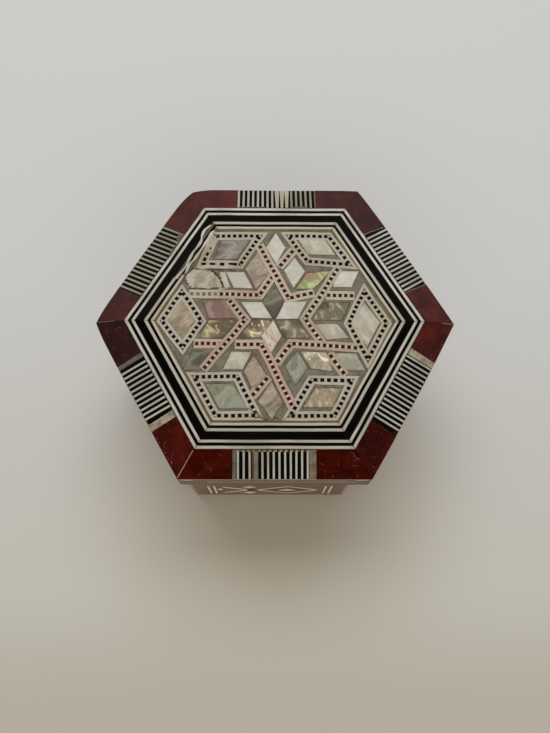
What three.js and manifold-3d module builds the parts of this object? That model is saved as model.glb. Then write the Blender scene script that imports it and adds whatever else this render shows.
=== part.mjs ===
// Six-sided inlaid trinket box: a wooden body of six mitred boards, and a framed lid hinged at the back.
// Lengths are millimetres, +Z is up and the front is -Y. The origin is on the table, under the lid's middle.
import * as THREE from 'three';
import { mergeVertices } from 'three/addons/utils/BufferGeometryUtils.js';
import Module from 'manifold-3d';

const wasm = await Module();
wasm.setup();

// Driving sizes of the body
const BODY_APOTHEM = 48.9;       // middle to the outer face of the veneer
const BODY_HEIGHT = 45.2;        // table to the top edge of the walls
const BODY_SHIFT_X = -1.5;       // the hand-fitted lid sits a little off the middle of the body
const WALL_THICKNESS = 5.0;
const VENEER_THICKNESS = 0.8;
const VENEER_LIFT = 0.5;         // veneer stops just short of the table
const BASE_THICKNESS = 4.0;
const LINING_THICKNESS = 1.0;
const LINING_DROP = 1.2;         // wall lining stops this far below the top edge

// Driving sizes of the lid
const LID_REST_GAP = 0.3;        // running gap between the wall tops and the closed lid
const LID_APOTHEM = 52.3;
const LID_SIDE_HEIGHT = 10.1;    // upright outer side of the rim
const RIM_WIDTH = 9.0;
const RIM_FALL = 2.4;            // the rim slopes down this much towards its outer edge
const RIM_ROUND = 0.8;           // worn outer top edge
const LEDGE_WIDTH = 2.0;         // rebate that carries the lid board
const LID_BOARD_THICKNESS = 6.0;
const INLAY_DEPTH = 1.2;         // all layers above the lid board

// Striped blocks let into the middle of each rim rail
const BLOCK_LENGTH = 27.0;
const BLOCK_DEPTH = 1.5;
const BLOCK_STRIPE = 0.95;       // one veneer in the stack
const STRIPE_GROOVE = 0.15;      // black veneers sit this much lower than white ones

// Border lines round the star panel
const LINE_VENEER = 1.0;         // width of one white or black line
const WIDE_LINE = 2.9;           // width of the wide black line
const LINE_GROOVE = 0.15;

// Star panel
const GROUND_THICKNESS = 0.8;    // dark filler layer under and between the inlays
const FRAME_SPACING = 5.4;       // between two corner frames at the middle of a side
const FRAME_STRIP_WIDTH = 3.0;   // dotted strip of the corner frames
const STRAP_WIDTH = 3.1;         // dotted straps
const NOTCH_SHARE = 0.264;       // where two straps leave each other, as a share of the panel's corner radius
const FILLER_WIDTH = 0.35;       // dark filler line between close neighbours
const WEDGE_FILLER_WIDTH = 0.95; // dark filler between the straps and a pair of lozenges
const PAIR_END_GAP = 1.75;       // dark filler between a pair and its corner frame
const SCRIBE_WIDTH = 0.3;        // joints scribed in the star and the pairs
const DOT_WIDTH = 1.15;
const DOT_SPACING = 2.0;
const DOT_DEPTH = 0.15;

// Butt hinges at the back, their pins on the back face's plane at the joint line
const HINGE_SPREAD = 32.0;       // between the middles of the two hinges
const HINGE_LENGTH = 13.0;
const KNUCKLE_END = 3.8;         // length of each of the two body knuckles
const KNUCKLE_GAP = 0.3;
const BARREL_RADIUS = 1.5;
const PIN_RADIUS = 0.7;
const PIN_FIT = 0.08;
const LEAF_THICKNESS = 0.8;
const LEAF_DEPTH = 4.6;
const HINGE_CLEARANCE = 0.3;     // round the barrel, in wood
const BARREL_SIDES = 24;

const GLUE_LINE = 0.2;           // mitre and edge joints
const LET_IN_GAP = 0.12;         // round pieces let into a pocket
const LEAF_SEAT_GAP = 0.1;       // under a leaf in its mortise

// Derived heights
const LID_BOTTOM = BODY_HEIGHT + LID_REST_GAP;
const LID_TOP = LID_BOTTOM + LID_SIDE_HEIGHT + RIM_FALL;
const LID_BOARD_TOP = LID_TOP - INLAY_DEPTH;
const LID_BOARD_BOTTOM = LID_BOARD_TOP - LID_BOARD_THICKNESS;
const RIM_EDGE_TOP = LID_TOP - RIM_FALL;
const GROUND_TOP = LID_BOARD_TOP + GROUND_THICKNESS;
const HINGE_Z = BODY_HEIGHT + LID_REST_GAP / 2;
const HINGE_Y = BODY_APOTHEM;

// Derived apothems
const WALL_APOTHEM = BODY_APOTHEM - VENEER_THICKNESS;
const INNER_APOTHEM = WALL_APOTHEM - WALL_THICKNESS;
const BORDER_APOTHEM = LID_APOTHEM - RIM_WIDTH;
const LINE_BAND = 3 * LINE_VENEER;
const PANEL_APOTHEM = BORDER_APOTHEM - 2 * LINE_BAND - WIDE_LINE;
const LEDGE_APOTHEM = BORDER_APOTHEM - LEDGE_WIDTH;

const SIDES = ['front', 'front_right', 'back_right', 'back', 'back_left', 'front_left'];
const CORNERS = ['right', 'back_right', 'back_left', 'left', 'front_left', 'front_right'];
const HEX_STEP = Math.PI / 3;
const HEX_SLOPE = Math.tan(Math.PI / 6);
const HEX_ROUND = 1 / Math.cos(Math.PI / 6);
const CUT = 2.0;                 // how far a cutter runs past the face it opens

const box = new THREE.Group();

// A point at a distance and an angle from a centre
function polar(radius, angle, centre = new THREE.Vector2()) {
  return new THREE.Vector2(centre.x + radius * Math.cos(angle), centre.y + radius * Math.sin(angle));
}

// Corners of a hexagon with flats front and back
function hexagon(apothem, shiftX = 0) {
  const centre = new THREE.Vector2(shiftX, 0);
  return CORNERS.map((_, k) => polar(apothem * HEX_ROUND, k * HEX_STEP, centre));
}

// Upright prism on an outline, with any holes through it
function prism(outline, bottom, top, holes = []) {
  const shape = new THREE.Shape(outline);
  holes.forEach((hole) => shape.holes.push(new THREE.Path(hole)));
  const geometry = new THREE.ExtrudeGeometry(shape, { depth: top - bottom, bevelEnabled: false });
  return geometry.translate(0, 0, bottom);
}

// Hexagonal ring between two apothems
function hexRing(outer, inner, bottom, top, shiftX = 0) {
  return prism(hexagon(outer, shiftX), bottom, top, [hexagon(inner, shiftX)]);
}

// Bar along one side of the hexagon, mitred at both corners. The profile lists (apothem, height) points
// anticlockwise; every point meets the corner at its own half length, less half the glue line.
function mitredBar(profile, side, gap = GLUE_LINE) {
  const normal = polar(1, (side - 1.5) * HEX_STEP);
  const along = new THREE.Vector2(-normal.y, normal.x);
  const place = (point, sign) => {
    const half = sign * (point.x * HEX_SLOPE - gap * HEX_ROUND / 2);
    return [normal.x * point.x + along.x * half, normal.y * point.x + along.y * half, point.y];
  };
  const count = profile.length;
  const positions = [...profile.map((p) => place(p, -1)), ...profile.map((p) => place(p, 1))].flat();
  const cap = THREE.ShapeUtils.triangulateShape(profile, []);
  const index = [];
  cap.forEach(([a, b, c]) => index.push(a, b, c, a + count, c + count, b + count));
  profile.forEach((_, i) => {
    const next = (i + 1) % count;
    index.push(i, i + count, next, next, i + count, next + count);
  });
  const geometry = new THREE.BufferGeometry();
  geometry.setAttribute('position', new THREE.Float32BufferAttribute(positions, 3));
  geometry.setIndex(index);
  return geometry;
}

// Rod along X
function rod(radius, length, x, y = HINGE_Y, z = HINGE_Z) {
  const geometry = new THREE.CylinderGeometry(radius, radius, length, BARREL_SIDES);
  return geometry.rotateZ(Math.PI / 2).translate(x, y, z);
}

// Block between two opposite corners
function block(low, high) {
  const size = high.map((value, i) => value - low[i]);
  const middle = high.map((value, i) => (value + low[i]) / 2);
  return new THREE.BoxGeometry(...size).translate(...middle);
}

// Closed solid from a geometry, ready to be joined or cut
function solid(geometry) {
  const bare = new THREE.BufferGeometry();
  bare.setAttribute('position', geometry.getAttribute('position').clone());
  if (geometry.index) bare.setIndex(geometry.index.clone());
  const merged = mergeVertices(bare, 1e-5);
  const mesh = new wasm.Mesh({
    numProp: 3,
    vertProperties: new Float32Array(merged.getAttribute('position').array),
    triVerts: new Uint32Array(merged.index.array),
  });
  return new wasm.Manifold(mesh);
}

// Geometry of a joined or cut solid
function surface(body) {
  const mesh = body.getMesh();
  const geometry = new THREE.BufferGeometry();
  geometry.setAttribute('position', new THREE.Float32BufferAttribute(mesh.vertProperties, 3));
  geometry.setIndex(new THREE.Uint32BufferAttribute(mesh.triVerts, 1));
  geometry.computeVertexNormals();
  return geometry;
}

// A body with every other shape joined on
function joinedTo(body, others) {
  return others.reduce((whole, other) => whole.add(solid(other)), body);
}

// A body with every cutter taken away
function cut(body, cutters) {
  return cutters.reduce((rest, cutter) => rest.subtract(solid(cutter)), body);
}

function finish(color, roughness, metalness = 0) {
  return new THREE.MeshStandardMaterial({ color, roughness, metalness });
}

function addPiece(name, geometry, material) {
  const mesh = new THREE.Mesh(geometry, material);
  mesh.name = name;
  box.add(mesh);
}

const plainWood = () => finish(0x7a5238, 0.6);
const mahogany = () => finish(0x4a120e, 0.25);
const sideVeneer = () => finish(0x6d4a3a, 0.35);
const whiteBone = () => finish(0xcfc8bb, 0.35);
const blackVeneer = () => finish(0x141114, 0.3);
const darkFiller = () => finish(0x5b5548, 0.5);
const rosyBone = () => finish(0xc9ab98, 0.4);
const pearl = (color) => finish(color, 0.2);
const velvet = () => finish(0x5a0f18, 0.95);
const brass = () => finish(0xb08d4a, 0.35, 1);

// Hinges

// Space that a hinge's barrel and one of its leaves take out of the wood
function hingeRoom(x, leafSign) {
  const half = HINGE_LENGTH / 2 + HINGE_CLEARANCE;
  const face = HINGE_Z + leafSign * LID_REST_GAP / 2;
  const floor = face + leafSign * (LEAF_THICKNESS + LEAF_SEAT_GAP);
  const open = face - leafSign * CUT;
  const low = [x - half, HINGE_Y - LEAF_DEPTH - HINGE_CLEARANCE, Math.min(floor, open)];
  const high = [x + half, HINGE_Y, Math.max(floor, open)];
  return [rod(BARREL_RADIUS + HINGE_CLEARANCE, 2 * half, x), block(low, high)];
}

// Leaf with its knuckles: sign -1 is the body's leaf with two knuckles, +1 the lid's with one between
function hingeLeaf(x, sign) {
  const near = HINGE_Z + sign * LID_REST_GAP / 2;
  const far = near + sign * LEAF_THICKNESS;
  const half = HINGE_LENGTH / 2;
  const plate = block(
    [x - half, HINGE_Y - LEAF_DEPTH, Math.min(near, far)],
    [x + half, HINGE_Y, Math.max(near, far)],
  );
  const middleLength = HINGE_LENGTH - 2 * KNUCKLE_END - 2 * KNUCKLE_GAP;
  const endShift = half - KNUCKLE_END / 2;
  const ends = [-endShift, endShift].map((shift) => [x + shift, KNUCKLE_END]);
  const middle = [[x, middleLength]];
  const own = sign < 0 ? ends : middle;
  const other = sign < 0 ? middle : ends;
  const room = BARREL_RADIUS + HINGE_CLEARANCE;
  const cleared = other.map(([at, length]) => rod(room, length + 2 * KNUCKLE_GAP, at));
  const trimmed = cut(solid(plate), cleared);
  const knuckles = own.map(([at, length]) => rod(BARREL_RADIUS, length, at));
  return cut(joinedTo(trimmed, knuckles), [rod(PIN_RADIUS + PIN_FIT, HINGE_LENGTH + CUT, x)]);
}

const hingePlaces = [
  ['left', BODY_SHIFT_X - HINGE_SPREAD / 2],
  ['right', BODY_SHIFT_X + HINGE_SPREAD / 2],
];
const bodyHingeRoom = hingePlaces.flatMap(([, x]) => hingeRoom(x, -1));
const lidHingeRoom = hingePlaces.flatMap(([, x]) => hingeRoom(x, 1));

hingePlaces.forEach(([place, x]) => {
  addPiece(`hinge_${place}_body_leaf`, surface(hingeLeaf(x, -1)), brass());
  addPiece(`hinge_${place}_lid_leaf`, surface(hingeLeaf(x, 1)), brass());
  addPiece(`hinge_${place}_pin`, rod(PIN_RADIUS, HINGE_LENGTH, x), brass());
});

// Body: base board, six walls standing on it, one wrap of veneer and the lining

addPiece('base_board',
  prism(hexagon(WALL_APOTHEM - GLUE_LINE, BODY_SHIFT_X), 0, BASE_THICKNESS), plainWood());

const wallProfile = [
  new THREE.Vector2(INNER_APOTHEM, BASE_THICKNESS),
  new THREE.Vector2(WALL_APOTHEM - GLUE_LINE, BASE_THICKNESS),
  new THREE.Vector2(WALL_APOTHEM - GLUE_LINE, BODY_HEIGHT),
  new THREE.Vector2(INNER_APOTHEM, BODY_HEIGHT),
];
SIDES.forEach((side, k) => {
  const board = solid(mitredBar(wallProfile, k).translate(BODY_SHIFT_X, 0, 0));
  addPiece(`${side}_wall`, surface(side === 'back' ? cut(board, bodyHingeRoom) : board), plainWood());
});

const veneerWrap = hexRing(BODY_APOTHEM, WALL_APOTHEM, VENEER_LIFT, BODY_HEIGHT, BODY_SHIFT_X);
addPiece('wall_veneer', surface(cut(solid(veneerWrap), bodyHingeRoom)), sideVeneer());

const FLOOR_TOP = BASE_THICKNESS + LINING_THICKNESS;
const LINED_APOTHEM = INNER_APOTHEM - GLUE_LINE - LINING_THICKNESS;
addPiece('floor_lining',
  prism(hexagon(INNER_APOTHEM - GLUE_LINE, BODY_SHIFT_X), BASE_THICKNESS, FLOOR_TOP), velvet());
addPiece('wall_lining', hexRing(
  INNER_APOTHEM - GLUE_LINE, LINED_APOTHEM, FLOOR_TOP, BODY_HEIGHT - LINING_DROP, BODY_SHIFT_X,
), velvet());

// Lid frame: six mitred rails with a rebate for the board and a shallow pocket for the striped block

const railProfile = [
  new THREE.Vector2(LEDGE_APOTHEM, LID_BOTTOM),
  new THREE.Vector2(LID_APOTHEM, LID_BOTTOM),
  new THREE.Vector2(LID_APOTHEM, RIM_EDGE_TOP - RIM_ROUND),
  new THREE.Vector2(LID_APOTHEM - RIM_ROUND * 0.3, RIM_EDGE_TOP - RIM_ROUND * 0.3),
  new THREE.Vector2(LID_APOTHEM - RIM_ROUND, RIM_EDGE_TOP + RIM_FALL * RIM_ROUND / RIM_WIDTH),
  new THREE.Vector2(BORDER_APOTHEM, LID_TOP),
  new THREE.Vector2(BORDER_APOTHEM, LID_BOARD_BOTTOM),
  new THREE.Vector2(LEDGE_APOTHEM, LID_BOARD_BOTTOM),
];

// Height of the sloping rim at an apothem
function rimHeight(apothem) {
  return LID_TOP - RIM_FALL * (apothem - BORDER_APOTHEM) / RIM_WIDTH;
}

// Slab that follows the rim's slope, running along one side for a given length
function rimSlab(side, inner, outer, drop, rise, from, to) {
  const profile = [
    new THREE.Vector2(inner, rimHeight(inner) - drop),
    new THREE.Vector2(outer, rimHeight(outer) - drop),
    new THREE.Vector2(outer, rimHeight(outer) + rise),
    new THREE.Vector2(inner, rimHeight(inner) + rise),
  ];
  const shape = new THREE.Shape(profile);
  const geometry = new THREE.ExtrudeGeometry(shape, { depth: to - from, bevelEnabled: false });
  geometry.translate(0, 0, from);
  // Profile x points outwards, profile y up, and the run goes along the side
  const turn = (side - 1.5) * HEX_STEP;
  geometry.rotateX(Math.PI / 2);
  return geometry.rotateZ(turn);
}

SIDES.forEach((side, k) => {
  const half = BLOCK_LENGTH / 2;
  const pocket = rimSlab(k, BORDER_APOTHEM - CUT, LID_APOTHEM + CUT, BLOCK_DEPTH, CUT,
    -half - LET_IN_GAP, half + LET_IN_GAP);
  const cutters = side === 'back' ? [pocket, ...lidHingeRoom] : [pocket];
  addPiece(`${side}_rail`, surface(cut(solid(mitredBar(railProfile, k)), cutters)), mahogany());

  const slab = rimSlab(k, BORDER_APOTHEM + LET_IN_GAP, LID_APOTHEM - RIM_ROUND * 0.3,
    BLOCK_DEPTH - LET_IN_GAP, 0, -half, half);
  const stripes = Math.floor((BLOCK_LENGTH / BLOCK_STRIPE - 1) / 2);
  const grooves = [];
  for (let i = 0; i < stripes; i += 1) {
    const from = (2 * i + 0.5 - stripes) * BLOCK_STRIPE;
    grooves.push(rimSlab(k, BORDER_APOTHEM - CUT, LID_APOTHEM + CUT, STRIPE_GROOVE, CUT,
      from, from + BLOCK_STRIPE));
  }
  addPiece(`${side}_striped_block`, surface(cut(solid(slab), grooves)), whiteBone());
});

addPiece('lid_board',
  prism(hexagon(BORDER_APOTHEM - GLUE_LINE), LID_BOARD_BOTTOM, LID_BOARD_TOP), plainWood());
addPiece('lid_lining',
  prism(hexagon(LEDGE_APOTHEM - GLUE_LINE), LID_BOARD_BOTTOM - LINING_THICKNESS, LID_BOARD_BOTTOM), velvet());

// Border: white, black and white lines, a wide black line, then the three lines again

function lineBand(outer) {
  const inner = outer - LINE_BAND + GLUE_LINE;
  const band = solid(hexRing(outer - GLUE_LINE / 2, inner - GLUE_LINE / 2, LID_BOARD_TOP, LID_TOP));
  const groove = hexRing(outer - LINE_VENEER, outer - 2 * LINE_VENEER, LID_TOP - LINE_GROOVE, LID_TOP + CUT);
  return surface(cut(band, [groove]));
}
const WIDE_OUTER = BORDER_APOTHEM - LINE_BAND;
const INNER_BAND_OUTER = WIDE_OUTER - WIDE_LINE;
addPiece('outer_line_band', lineBand(BORDER_APOTHEM), whiteBone());
addPiece('wide_black_band', hexRing(
  WIDE_OUTER - GLUE_LINE / 2, INNER_BAND_OUTER + GLUE_LINE / 2, LID_BOARD_TOP, LID_TOP,
), blackVeneer());
addPiece('inner_line_band', lineBand(INNER_BAND_OUTER), whiteBone());

// Star panel

addPiece('star_ground', prism(hexagon(PANEL_APOTHEM - GLUE_LINE), LID_BOARD_TOP, GROUND_TOP), darkFiller());

// Lozenge that grows from a corner along two directions
function lozenge(corner, side, angleA, angleB) {
  const a = polar(side, angleA, corner);
  const b = polar(side, angleB, a);
  const c = polar(side, angleB, corner);
  return [corner, a, b, c];
}

// Square dots along a line, centred on it
function dotPits(start, angle, length) {
  const count = Math.floor((length - DOT_WIDTH) / DOT_SPACING) + 1;
  const first = (length - (count - 1) * DOT_SPACING) / 2;
  return Array.from({ length: count }, (_, i) => {
    const at = polar(first + i * DOT_SPACING, angle, start);
    const half = DOT_WIDTH / 2;
    const pit = block([-half, -half, LID_TOP - DOT_DEPTH], [half, half, LID_TOP + CUT]);
    return pit.rotateZ(angle).translate(at.x, at.y, 0);
  });
}

const SLANT = 1 / Math.sin(HEX_STEP);
const PANEL_CORNER = (PANEL_APOTHEM - GLUE_LINE - FILLER_WIDTH / 2) * HEX_ROUND;
const FRAME_SIDE = (PANEL_CORNER - FRAME_SPACING) / 2;

CORNERS.forEach((corner, k) => {
  const angle = k * HEX_STEP;
  const out = angle + Math.PI;
  const outer = lozenge(polar(PANEL_CORNER, angle), FRAME_SIDE, out - HEX_STEP, out + HEX_STEP);

  // The strip is inset evenly, so each inner corner moves along the lozenge's own diagonals
  const inset = (amount) => {
    const start = polar(PANEL_CORNER - amount * SLANT, angle);
    return lozenge(start, FRAME_SIDE - 2 * amount * SLANT, out - HEX_STEP, out + HEX_STEP);
  };
  const inner = inset(FRAME_STRIP_WIDTH);
  const dotLine = inset(FRAME_STRIP_WIDTH / 2);
  const frame = solid(prism(outer, GROUND_TOP, LID_TOP, [inner]));
  const pits = dotLine.flatMap((point, i) => {
    const next = dotLine[(i + 1) % dotLine.length];
    const run = next.clone().sub(point);
    return dotPits(point, run.angle(), run.length() - DOT_SPACING / 2);
  });
  addPiece(`${corner}_dotted_frame`, surface(cut(frame, pits)), whiteBone());
  const window = inset(FRAME_STRIP_WIDTH + FILLER_WIDTH);
  addPiece(`${corner}_corner_pearl`, prism(window, GROUND_TOP, LID_TOP), pearl(0xa79f90));
});

// Straps: from each notch two straps run out either side of the wedge that opens there, over and under
// their neighbours, until they meet a corner frame
const STRAP_NOTCH_RADIUS = NOTCH_SHARE * PANEL_CORNER;
const STRAP_REACH = FRAME_SIDE * 2;
const strapRuns = CORNERS.flatMap((_, k) => [-1, 1].map((sign) => ({
  start: polar(STRAP_NOTCH_RADIUS, k * HEX_STEP),
  angle: (k + sign) * HEX_STEP,
})));
const strapBars = strapRuns.map(({ start, angle }) => {
  const side = polar(STRAP_WIDTH / 2, angle + Math.PI / 2);
  const heel = polar(-STRAP_WIDTH / 2 * SLANT / 2, angle, start);
  const end = polar(STRAP_REACH, angle, start);
  const outline = [
    heel.clone().sub(side), end.clone().sub(side), end.clone().add(side), heel.clone().add(side),
  ];
  return prism(outline, GROUND_TOP, LID_TOP);
});
const grownFrames = CORNERS.map((_, k) => {
  const angle = k * HEX_STEP;
  const out = angle + Math.PI;
  const grown = FILLER_WIDTH * SLANT;
  const start = polar(PANEL_CORNER + grown, angle);
  const outline = lozenge(start, FRAME_SIDE + 2 * grown, out - HEX_STEP, out + HEX_STEP);
  return prism(outline, GROUND_TOP - CUT, LID_TOP + CUT);
});
const panelOutside = prism(hexagon(LID_APOTHEM * 2), GROUND_TOP - CUT, LID_TOP + CUT,
  [hexagon(PANEL_APOTHEM - FILLER_WIDTH)]);
// Along a corner's axis a strap starts half a notch radius out, and ends on the frame's slanting edge
const STRAP_RUN = PANEL_CORNER - FRAME_SIDE - STRAP_NOTCH_RADIUS / 2
  + STRAP_NOTCH_RADIUS * HEX_SLOPE * Math.sin(HEX_STEP);
const strapDots = strapRuns.flatMap(({ start, angle }) => dotPits(start, angle, STRAP_RUN));
const allStraps = joinedTo(solid(strapBars[0]), strapBars.slice(1));
const strapwork = cut(allStraps, [...grownFrames, panelOutside, ...strapDots]);
addPiece('dotted_strapwork', surface(strapwork), rosyBone());

// Middle star: six lozenges cut from one sheet of shell, their joints scribed
const STAR_SIDE = STRAP_NOTCH_RADIUS - (STRAP_WIDTH / 2 + FILLER_WIDTH) * SLANT;
const starOutline = CORNERS.flatMap((_, k) => [
  polar(STAR_SIDE, k * HEX_STEP),
  polar(2 * STAR_SIDE * Math.cos(HEX_STEP / 2), (k + 0.5) * HEX_STEP),
]);
const scribes = [0, 1, 2].map((k) => block(
  [-STAR_SIDE - CUT, -SCRIBE_WIDTH / 2, LID_TOP - LINE_GROOVE],
  [STAR_SIDE + CUT, SCRIBE_WIDTH / 2, LID_TOP + CUT],
).rotateZ(k * HEX_STEP));
const starBody = solid(prism(starOutline, GROUND_TOP, LID_TOP));
addPiece('middle_star', surface(cut(starBody, scribes)), pearl(0xb9b5a6));

// Single lozenges between two crossing straps, pointing at the middle of each side
const crossing = 2 * STRAP_NOTCH_RADIUS * Math.cos(HEX_STEP / 2);
const pointStart = crossing + (STRAP_WIDTH / 2 + FILLER_WIDTH / 2) / Math.sin(HEX_STEP / 2);
const pointEnd = PANEL_APOTHEM - GLUE_LINE - FILLER_WIDTH;
const POINT_SIDE = (pointEnd - pointStart) / (2 * Math.cos(HEX_STEP / 2));
SIDES.forEach((side, k) => {
  const angle = (k - 1.5) * HEX_STEP;
  const outline = lozenge(polar(pointStart, angle), POINT_SIDE, angle - HEX_STEP / 2, angle + HEX_STEP / 2);
  addPiece(`${side}_point_lozenge`, prism(outline, GROUND_TOP, LID_TOP), pearl(0xcac5b6));
});

// Paired lozenges in the wedge that faces each corner frame, scribed where the two meet
const PAIR_START = STRAP_NOTCH_RADIUS + (STRAP_WIDTH / 2 + WEDGE_FILLER_WIDTH) * SLANT;
const PAIR_SIDE = PANEL_CORNER - FRAME_SIDE - PAIR_END_GAP - PAIR_START;
CORNERS.forEach((corner, k) => {
  const angle = k * HEX_STEP;
  const start = polar(PAIR_START, angle);
  const outline = [
    start,
    polar(PAIR_SIDE, angle - HEX_STEP, start),
    polar(PAIR_SIDE, angle, polar(PAIR_SIDE, angle - HEX_STEP, start)),
    polar(PAIR_SIDE, angle, start),
    polar(PAIR_SIDE, angle, polar(PAIR_SIDE, angle + HEX_STEP, start)),
    polar(PAIR_SIDE, angle + HEX_STEP, start),
  ];
  const scribe = block(
    [PAIR_START - CUT, -SCRIBE_WIDTH / 2, LID_TOP - LINE_GROOVE],
    [PAIR_START + PAIR_SIDE + CUT, SCRIBE_WIDTH / 2, LID_TOP + CUT],
  ).rotateZ(angle);
  const pair = solid(prism(outline, GROUND_TOP, LID_TOP));
  addPiece(`${corner}_paired_lozenges`, surface(cut(pair, [scribe])), pearl(0xc4bfae));
});

export default box;
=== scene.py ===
"""Six-sided inlaid trinket box: the finish of every surface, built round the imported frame.

Each kind of piece has its own operator. Shapes are surfaces worked out with numpy on a grid of two
parameters and written in millimetres, then laid into the frame's own axes in metres: +Z up, the front
towards -Y. Finishes are node materials that read Object coordinates, a UV map in metres, or the point
attributes "rim" (1 at a piece's edge) and "shade" (one number for each cut piece).
"""

import math

import bpy
import numpy as np
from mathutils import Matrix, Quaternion, Vector


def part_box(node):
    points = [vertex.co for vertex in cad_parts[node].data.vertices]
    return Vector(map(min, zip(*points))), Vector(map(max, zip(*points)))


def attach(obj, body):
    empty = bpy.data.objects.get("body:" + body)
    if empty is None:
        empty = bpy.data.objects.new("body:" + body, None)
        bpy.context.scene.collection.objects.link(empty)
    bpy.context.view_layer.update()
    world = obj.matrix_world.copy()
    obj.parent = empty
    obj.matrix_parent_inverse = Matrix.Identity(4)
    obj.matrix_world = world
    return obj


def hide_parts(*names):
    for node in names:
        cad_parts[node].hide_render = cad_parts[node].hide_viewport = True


bl_info = {
    "name": "Inlaid Box",
    "version": (1, 0, 0),
    "blender": (4, 5, 0),
    "location": "3D View > Sidebar > Inlaid Box",
    "description": "Dresses a six-sided inlaid box with veneers, shell, velvet and brass",
    "category": "Object",
}

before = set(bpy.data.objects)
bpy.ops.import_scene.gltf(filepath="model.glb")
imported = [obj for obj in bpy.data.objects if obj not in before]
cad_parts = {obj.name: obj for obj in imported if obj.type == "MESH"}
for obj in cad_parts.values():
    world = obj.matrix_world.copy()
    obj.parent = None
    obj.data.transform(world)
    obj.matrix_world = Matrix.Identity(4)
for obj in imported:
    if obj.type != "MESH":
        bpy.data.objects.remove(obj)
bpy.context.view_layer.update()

MM = 0.001
SIDES = ("front", "front_right", "back_right", "back", "back_left", "front_left")
CORNERS = ("right", "back_right", "back_left", "left", "front_left", "front_right")
HEX_STEP = math.pi / 3
HALF_SIDE = math.tan(math.pi / 6)
BODY = "box_body"
LID = "lid"


def low(node, axis):
    """A CAD node's lowest reach along an axis, in millimetres."""
    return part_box(node)[0][axis] / MM


def high(node, axis):
    """A CAD node's highest reach along an axis, in millimetres."""
    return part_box(node)[1][axis] / MM


# Heights and apothems of the frame, in millimetres
LID_TOP = high("outer_line_band", 2)
LID_BOTTOM = low("front_rail", 2)
LID_APOTHEM = -low("front_rail", 1)
RIM_INNER = -high("front_striped_block", 1)
BORDER_APOTHEM = -low("outer_line_band", 1)
BOARD_TOP = high("lid_board", 2)
BOARD_BOTTOM = low("lid_board", 2)
LEDGE_APOTHEM = -high("front_rail", 1)
PANEL_APOTHEM = -low("star_ground", 1)
BODY_APOTHEM = -low("wall_veneer", 1)
BODY_TOP = high("wall_veneer", 2)
BODY_FOOT = low("wall_veneer", 2)
BODY_X = (low("wall_veneer", 0) + high("wall_veneer", 0)) / 2
PIN_Y = (low("hinge_left_pin", 1) + high("hinge_left_pin", 1)) / 2
PIN_Z = (low("hinge_left_pin", 2) + high("hinge_left_pin", 2)) / 2

# The rim falls outwards to its arris. Each side swells a little in the middle, and corners are worn back
RIM_PITCH = 0.264
ARRIS_APOTHEM = LID_APOTHEM - 0.08
RIM_TOP = LID_TOP - 0.06
SIDE_SWELL = (0.0, 0.45, 0.4, 0.0, 0.45, 0.2)
CORNER_WEAR = {"back_left": 1.1, "left": 0.5, "back_right": 0.2}
WEAR_START = 0.7


# Surfaces


def waver(x, y, amount, seed):
    """Slow unevenness of hand cutting: amount times the sum of three sine waves over the place."""
    return amount * (
        np.sin(0.31 * x + 0.23 * y + seed)
        + 0.6 * np.sin(0.17 * x - 0.41 * y + 2.1 * seed)
        + 0.4 * np.sin(0.83 * x + 0.67 * y + 3.3 * seed)
    )


def on_lid(level, unevenness=0.012, drift=0.06):
    """Places (x, y, height) on the lid's face: x and y waver by drift, and the height by the unevenness."""

    def place(x, y, h):
        px = x + waver(x, y, drift, 1.0)
        py = y + waver(x, y, drift, 4.0)
        pz = level + h - unevenness * 2.1 + waver(3 * x, 3 * y, unevenness, 2.0)
        return np.stack(np.broadcast_arrays(px, py, pz), -1)

    return place


def side_axes(k):
    """Outward and sideways unit vectors of side k, seen from above."""
    angle = (k - 1.5) * HEX_STEP
    return (math.cos(angle), math.sin(angle)), (-math.sin(angle), math.cos(angle))


def bowed(k, a, t):
    """The lid's side k as it is: apothem a and sideways t become a' and t * a' / a.

    With q = t / (a tan 30), which is 1 at the mitre, a' is a + g * (swell * (1 - q^2) - wear * w^2)
    where w grows from 0 at q = 0.7 to 1 at the corner, and g from 0 at the border to 1 at the arris.
    """
    share = np.clip(t / (a * HALF_SIDE), -1, 1)
    move = SIDE_SWELL[k] * (1 - share**2)
    for sign, corner in ((-1, CORNERS[(k - 2) % 6]), (1, CORNERS[(k - 1) % 6])):
        worn = np.clip((sign * share - WEAR_START) / (1 - WEAR_START), 0, 1)
        move = move - CORNER_WEAR.get(corner, 0.0) * worn**2
    grown = np.clip((a - BORDER_APOTHEM) / (ARRIS_APOTHEM - BORDER_APOTHEM), 0, 1)
    moved = a + grown * move
    return moved, t * moved / a


def on_side(k, apothem, centre_x, lid=False):
    """Places (t, z, h) on an upright face of side k: t runs sideways, h stands out from the face."""
    (nx, ny), (tx, ty) = side_axes(k)

    def place(t, z, h):
        a = apothem + h
        if lid:
            a, t = bowed(k, a, t)
        x = centre_x + a * nx + t * tx
        y = a * ny + t * ty
        return np.stack(np.broadcast_arrays(x, y, z + 0 * x), -1)

    return place


def rim_height(a):
    """Height of the rim's slope at apothem a: it falls by the pitch for each millimetre outwards."""
    return RIM_TOP - (a - RIM_INNER) * RIM_PITCH


def on_rim(k, lift=0.0):
    """Places (t, a, h) on the falling rim of side k: a is the apothem before the side is bowed."""
    (nx, ny), (tx, ty) = side_axes(k)

    def place(t, a, h):
        z = rim_height(a) + h + lift
        out, along = bowed(k, a + 0.0 * t, t + 0.0 * a)
        x = out * nx + along * tx
        y = out * ny + along * ty
        return np.stack(np.broadcast_arrays(x, y, z), -1)

    return place


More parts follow.
